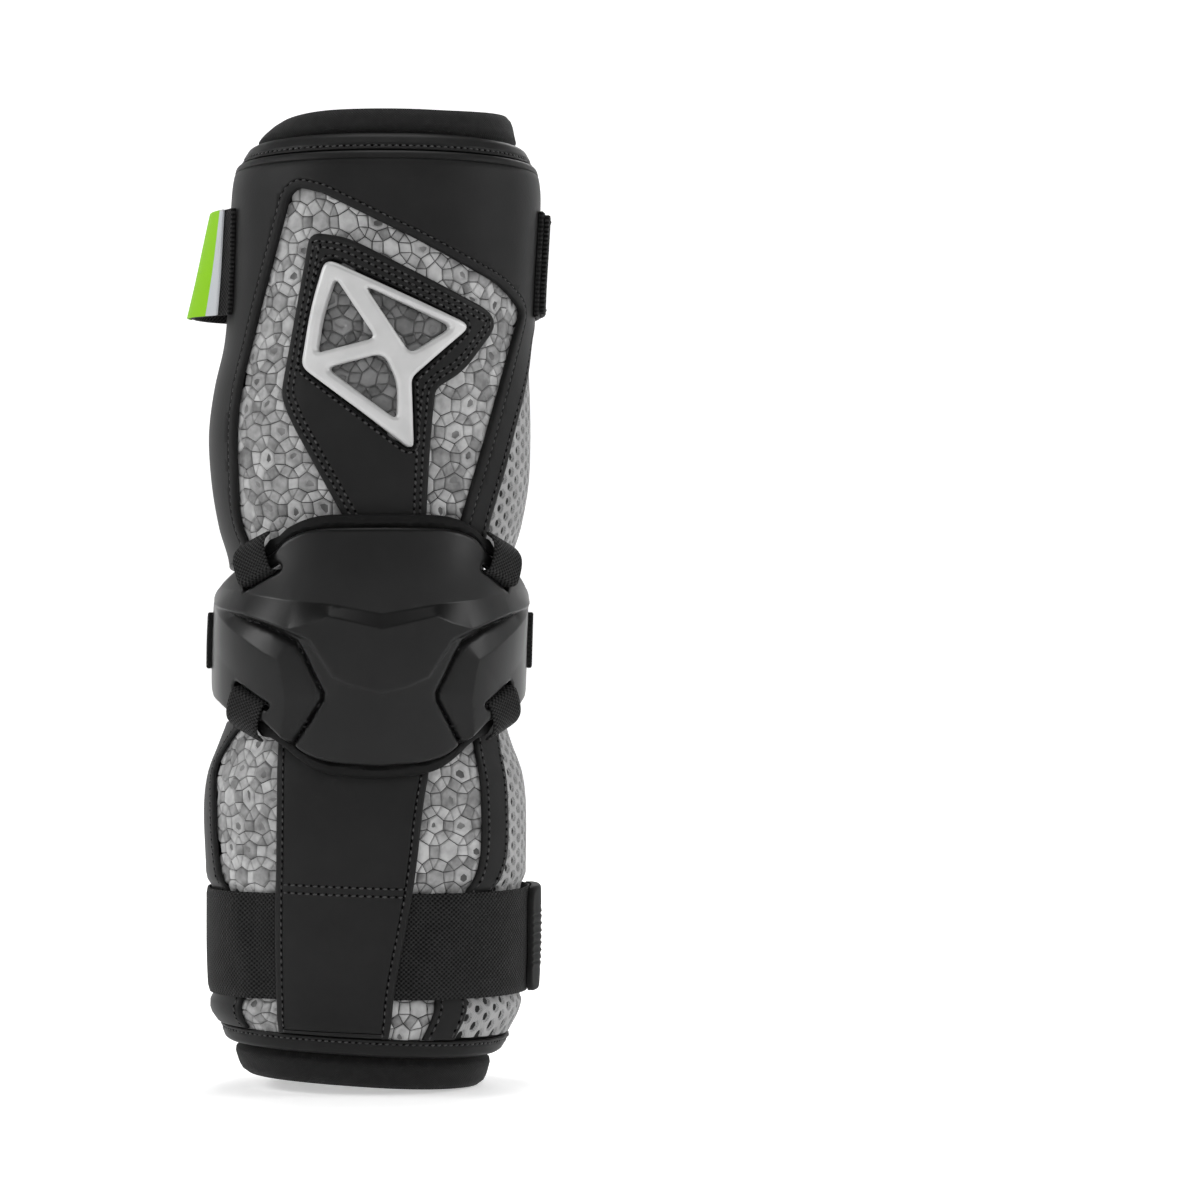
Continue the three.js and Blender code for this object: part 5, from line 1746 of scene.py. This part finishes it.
# %% Pull
PULL_SWELL, RIB_RISE, RIB_PITCH, PULL_WALL, PULL_CELL = 1.6, 0.3, 2.4, 1.9, 0.9
PULL_EDGE = [(0.3, 0.5), (0.5, 0.3), (0.6, 0.1)]


def pull_ribs(degrees, height):
    """Low ribs across the middle of the pull."""
    off = height - FOREARM_STRAP
    middle = PULL_SWELL * (1 - step(4, 17, abs(degrees - sum(FOREARM_TAB) / 2)))
    return middle + RIB_RISE * (1 - step(10, 12, abs(off))) * math.cos(off * math.tau / RIB_PITCH)


forearm_tab = make_cover("forearm_strap_pull", [strip_outline(FOREARM_TAB, FOREARM_STRAP, 2 * STRAP_HALF, 7)],
                         STRAP_WALL + SEAT, PULL_WALL, PULL_EDGE, PULL_CELL, forearm_strap_lift, cap_rubber,
                         pull_ribs)
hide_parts("forearm_strap_tab")

# %% [markdown]
# The label is one woven piece in two colours that meet along a slanting line. Its mesh is cut along a
# plane through that line, so the line stays straight and sharp, and one side gets the second finish.

# %% Label: green on its outer part
LABEL_WALL = 0.8
label = make_cover("woven_side_label", [strip_outline(LABEL_TURNS, UPPER_STRAP, 2 * STRAP_HALF, 0.5)],
                   STRAP_WALL + SEAT, LABEL_WALL, [(0.2, 0.2)], 2.0, upper_strap_lift, label_grey)
label.data.materials.append(label_green)
GREEN_SHARES = (0.78, 0.9)  # of the way round it, at the label's foot and at its top


def dye_label():
    """Cuts the label along a slanting plane, and makes all that lies behind it green."""
    ends = []
    for share, height in zip(GREEN_SHARES, (UPPER_STRAP - STRAP_HALF, UPPER_STRAP + STRAP_HALF)):
        reach = arm_radius(-90, UPPER_STRAP) + upper_strap_lift(-90, height)
        ends.append(place_at(mix(*LABEL_TURNS, share), height, reach))
    low, high = ends
    front = (high - low).cross(Vector((-1, 0, 0))).normalized()
    bm = bmesh.new()
    bm.from_mesh(label.data)
    cut(bm, low, front, dist=1e-6)
    for face in bm.faces:
        face.material_index = 1 if (face.calc_center_median() - low).dot(front) * front.y > 0 else 0
    bm.to_mesh(label.data)
    bm.free()


dye_label()
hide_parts("strap_label")
declare_sheet(label)
strap_seams = make_stitches("strap_stitches", [
    (seamed_end(UPPER_TAB, UPPER_STRAP, TAB_WIDTH), 2 * STRAP_WALL + SEAT + ON_TOP, True),
], upper_strap_lift)
declare_sheet(upper_tab, [strap_seams])

# %% [markdown]
# ## Floor, light and camera
# The picture looks level at the pad from about a metre and a half, under broad soft light from both
# sides, from above and from behind. The floor is a wide pale disc whose rim curves up all round, so that
# no line shows where floor and wall meet.

# %% Floor
FLOOR_HEIGHT = -0.1605


def make_floor():
    """A wide pale disc whose rim curves up into a wall all round."""
    bm = bmesh.new()
    flat_to, bend, wall = 2.6, 1.2, 1.5
    bmesh.ops.create_grid(bm, x_segments=90, y_segments=90, size=1)
    for vert in bm.verts:
        side = max(abs(vert.co.x), abs(vert.co.y))
        outward = Vector((vert.co.x, vert.co.y, 0)).normalized() if side > 0 else Vector()
        length = side * (flat_to + bend * math.pi / 2 + wall)
        angle = clamp((length - flat_to) / bend, 0, math.pi / 2)
        rest = max(0.0, length - flat_to - bend * math.pi / 2)
        reach = min(length, flat_to) + bend * math.sin(angle)
        vert.co = outward * reach + Vector((0, 0, FLOOR_HEIGHT + bend * (1 - math.cos(angle)) + rest))
    mesh = bpy.data.meshes.new("studio_floor")
    bm.to_mesh(mesh)
    bm.free()
    mesh.polygons.foreach_set("use_smooth", [True] * len(mesh.polygons))
    material, _, shader, _ = start("painted_floor_pale")
    shader.inputs["Base Color"].default_value = linear("#fafafa")
    shader.inputs["Emission Color"].default_value = linear("#ffffff")
    shader.inputs["Emission Strength"].default_value = 0.38
    set_shader(shader, rough=0.9, specular=0.1)
    mesh.materials.append(material)
    floor = bpy.data.objects.new("studio_floor", mesh)
    bpy.context.scene.collection.objects.link(floor)
    floor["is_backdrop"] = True


make_floor()

# %% [markdown]
# Four round lamps and a dim white room give the even, nearly shadowless light of a catalogue picture. The
# camera has a long lens, so that the pad isn't drawn wide in front.

# %% Light and camera
def make_light(name, place, size, watts):
    """A round lamp that looks at the middle of the pad."""
    data = bpy.data.lights.new(name, "AREA")
    data.shape, data.size, data.energy = "DISK", size, watts
    light = bpy.data.objects.new(name, data)
    light.location = place
    light.rotation_euler = (-Vector(place)).to_track_quat("-Z", "Y").to_euler()
    bpy.context.scene.collection.objects.link(light)


make_light("soft_left", (-1.85, -0.6, 1.2), 0.9, 17)
make_light("soft_right", (1.9, -0.5, 1.1), 0.8, 11)
make_light("soft_top", (0.0, 0.2, 1.8), 0.8, 11)
make_light("soft_behind", (0.3, 1.7, 1.1), 0.9, 9)

world = bpy.data.worlds.new("pale_room")
world.use_nodes = True
world.node_tree.nodes["Background"].inputs["Color"].default_value = linear("#ffffff")
world.node_tree.nodes["Background"].inputs["Strength"].default_value = 0.16
bpy.context.scene.world = world
bpy.context.scene.view_settings.view_transform = "Standard"

camera_data = bpy.data.cameras.new("camera")
camera_data.lens, camera_data.sensor_width = 125, 36
camera = bpy.data.objects.new("camera", camera_data)
camera.location = (0.08208, -1.5, 0.0144)
camera.rotation_euler = (math.pi / 2, 0, 0)
bpy.context.scene.collection.objects.link(camera)
bpy.context.scene.camera = camera

# %% Sizes, and finish
new_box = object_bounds()
[[list(corner) for corner in box] for box in (cad_box, new_box)]
print("CAD box:", short(cad_box))
print("visual box:", short(new_box))
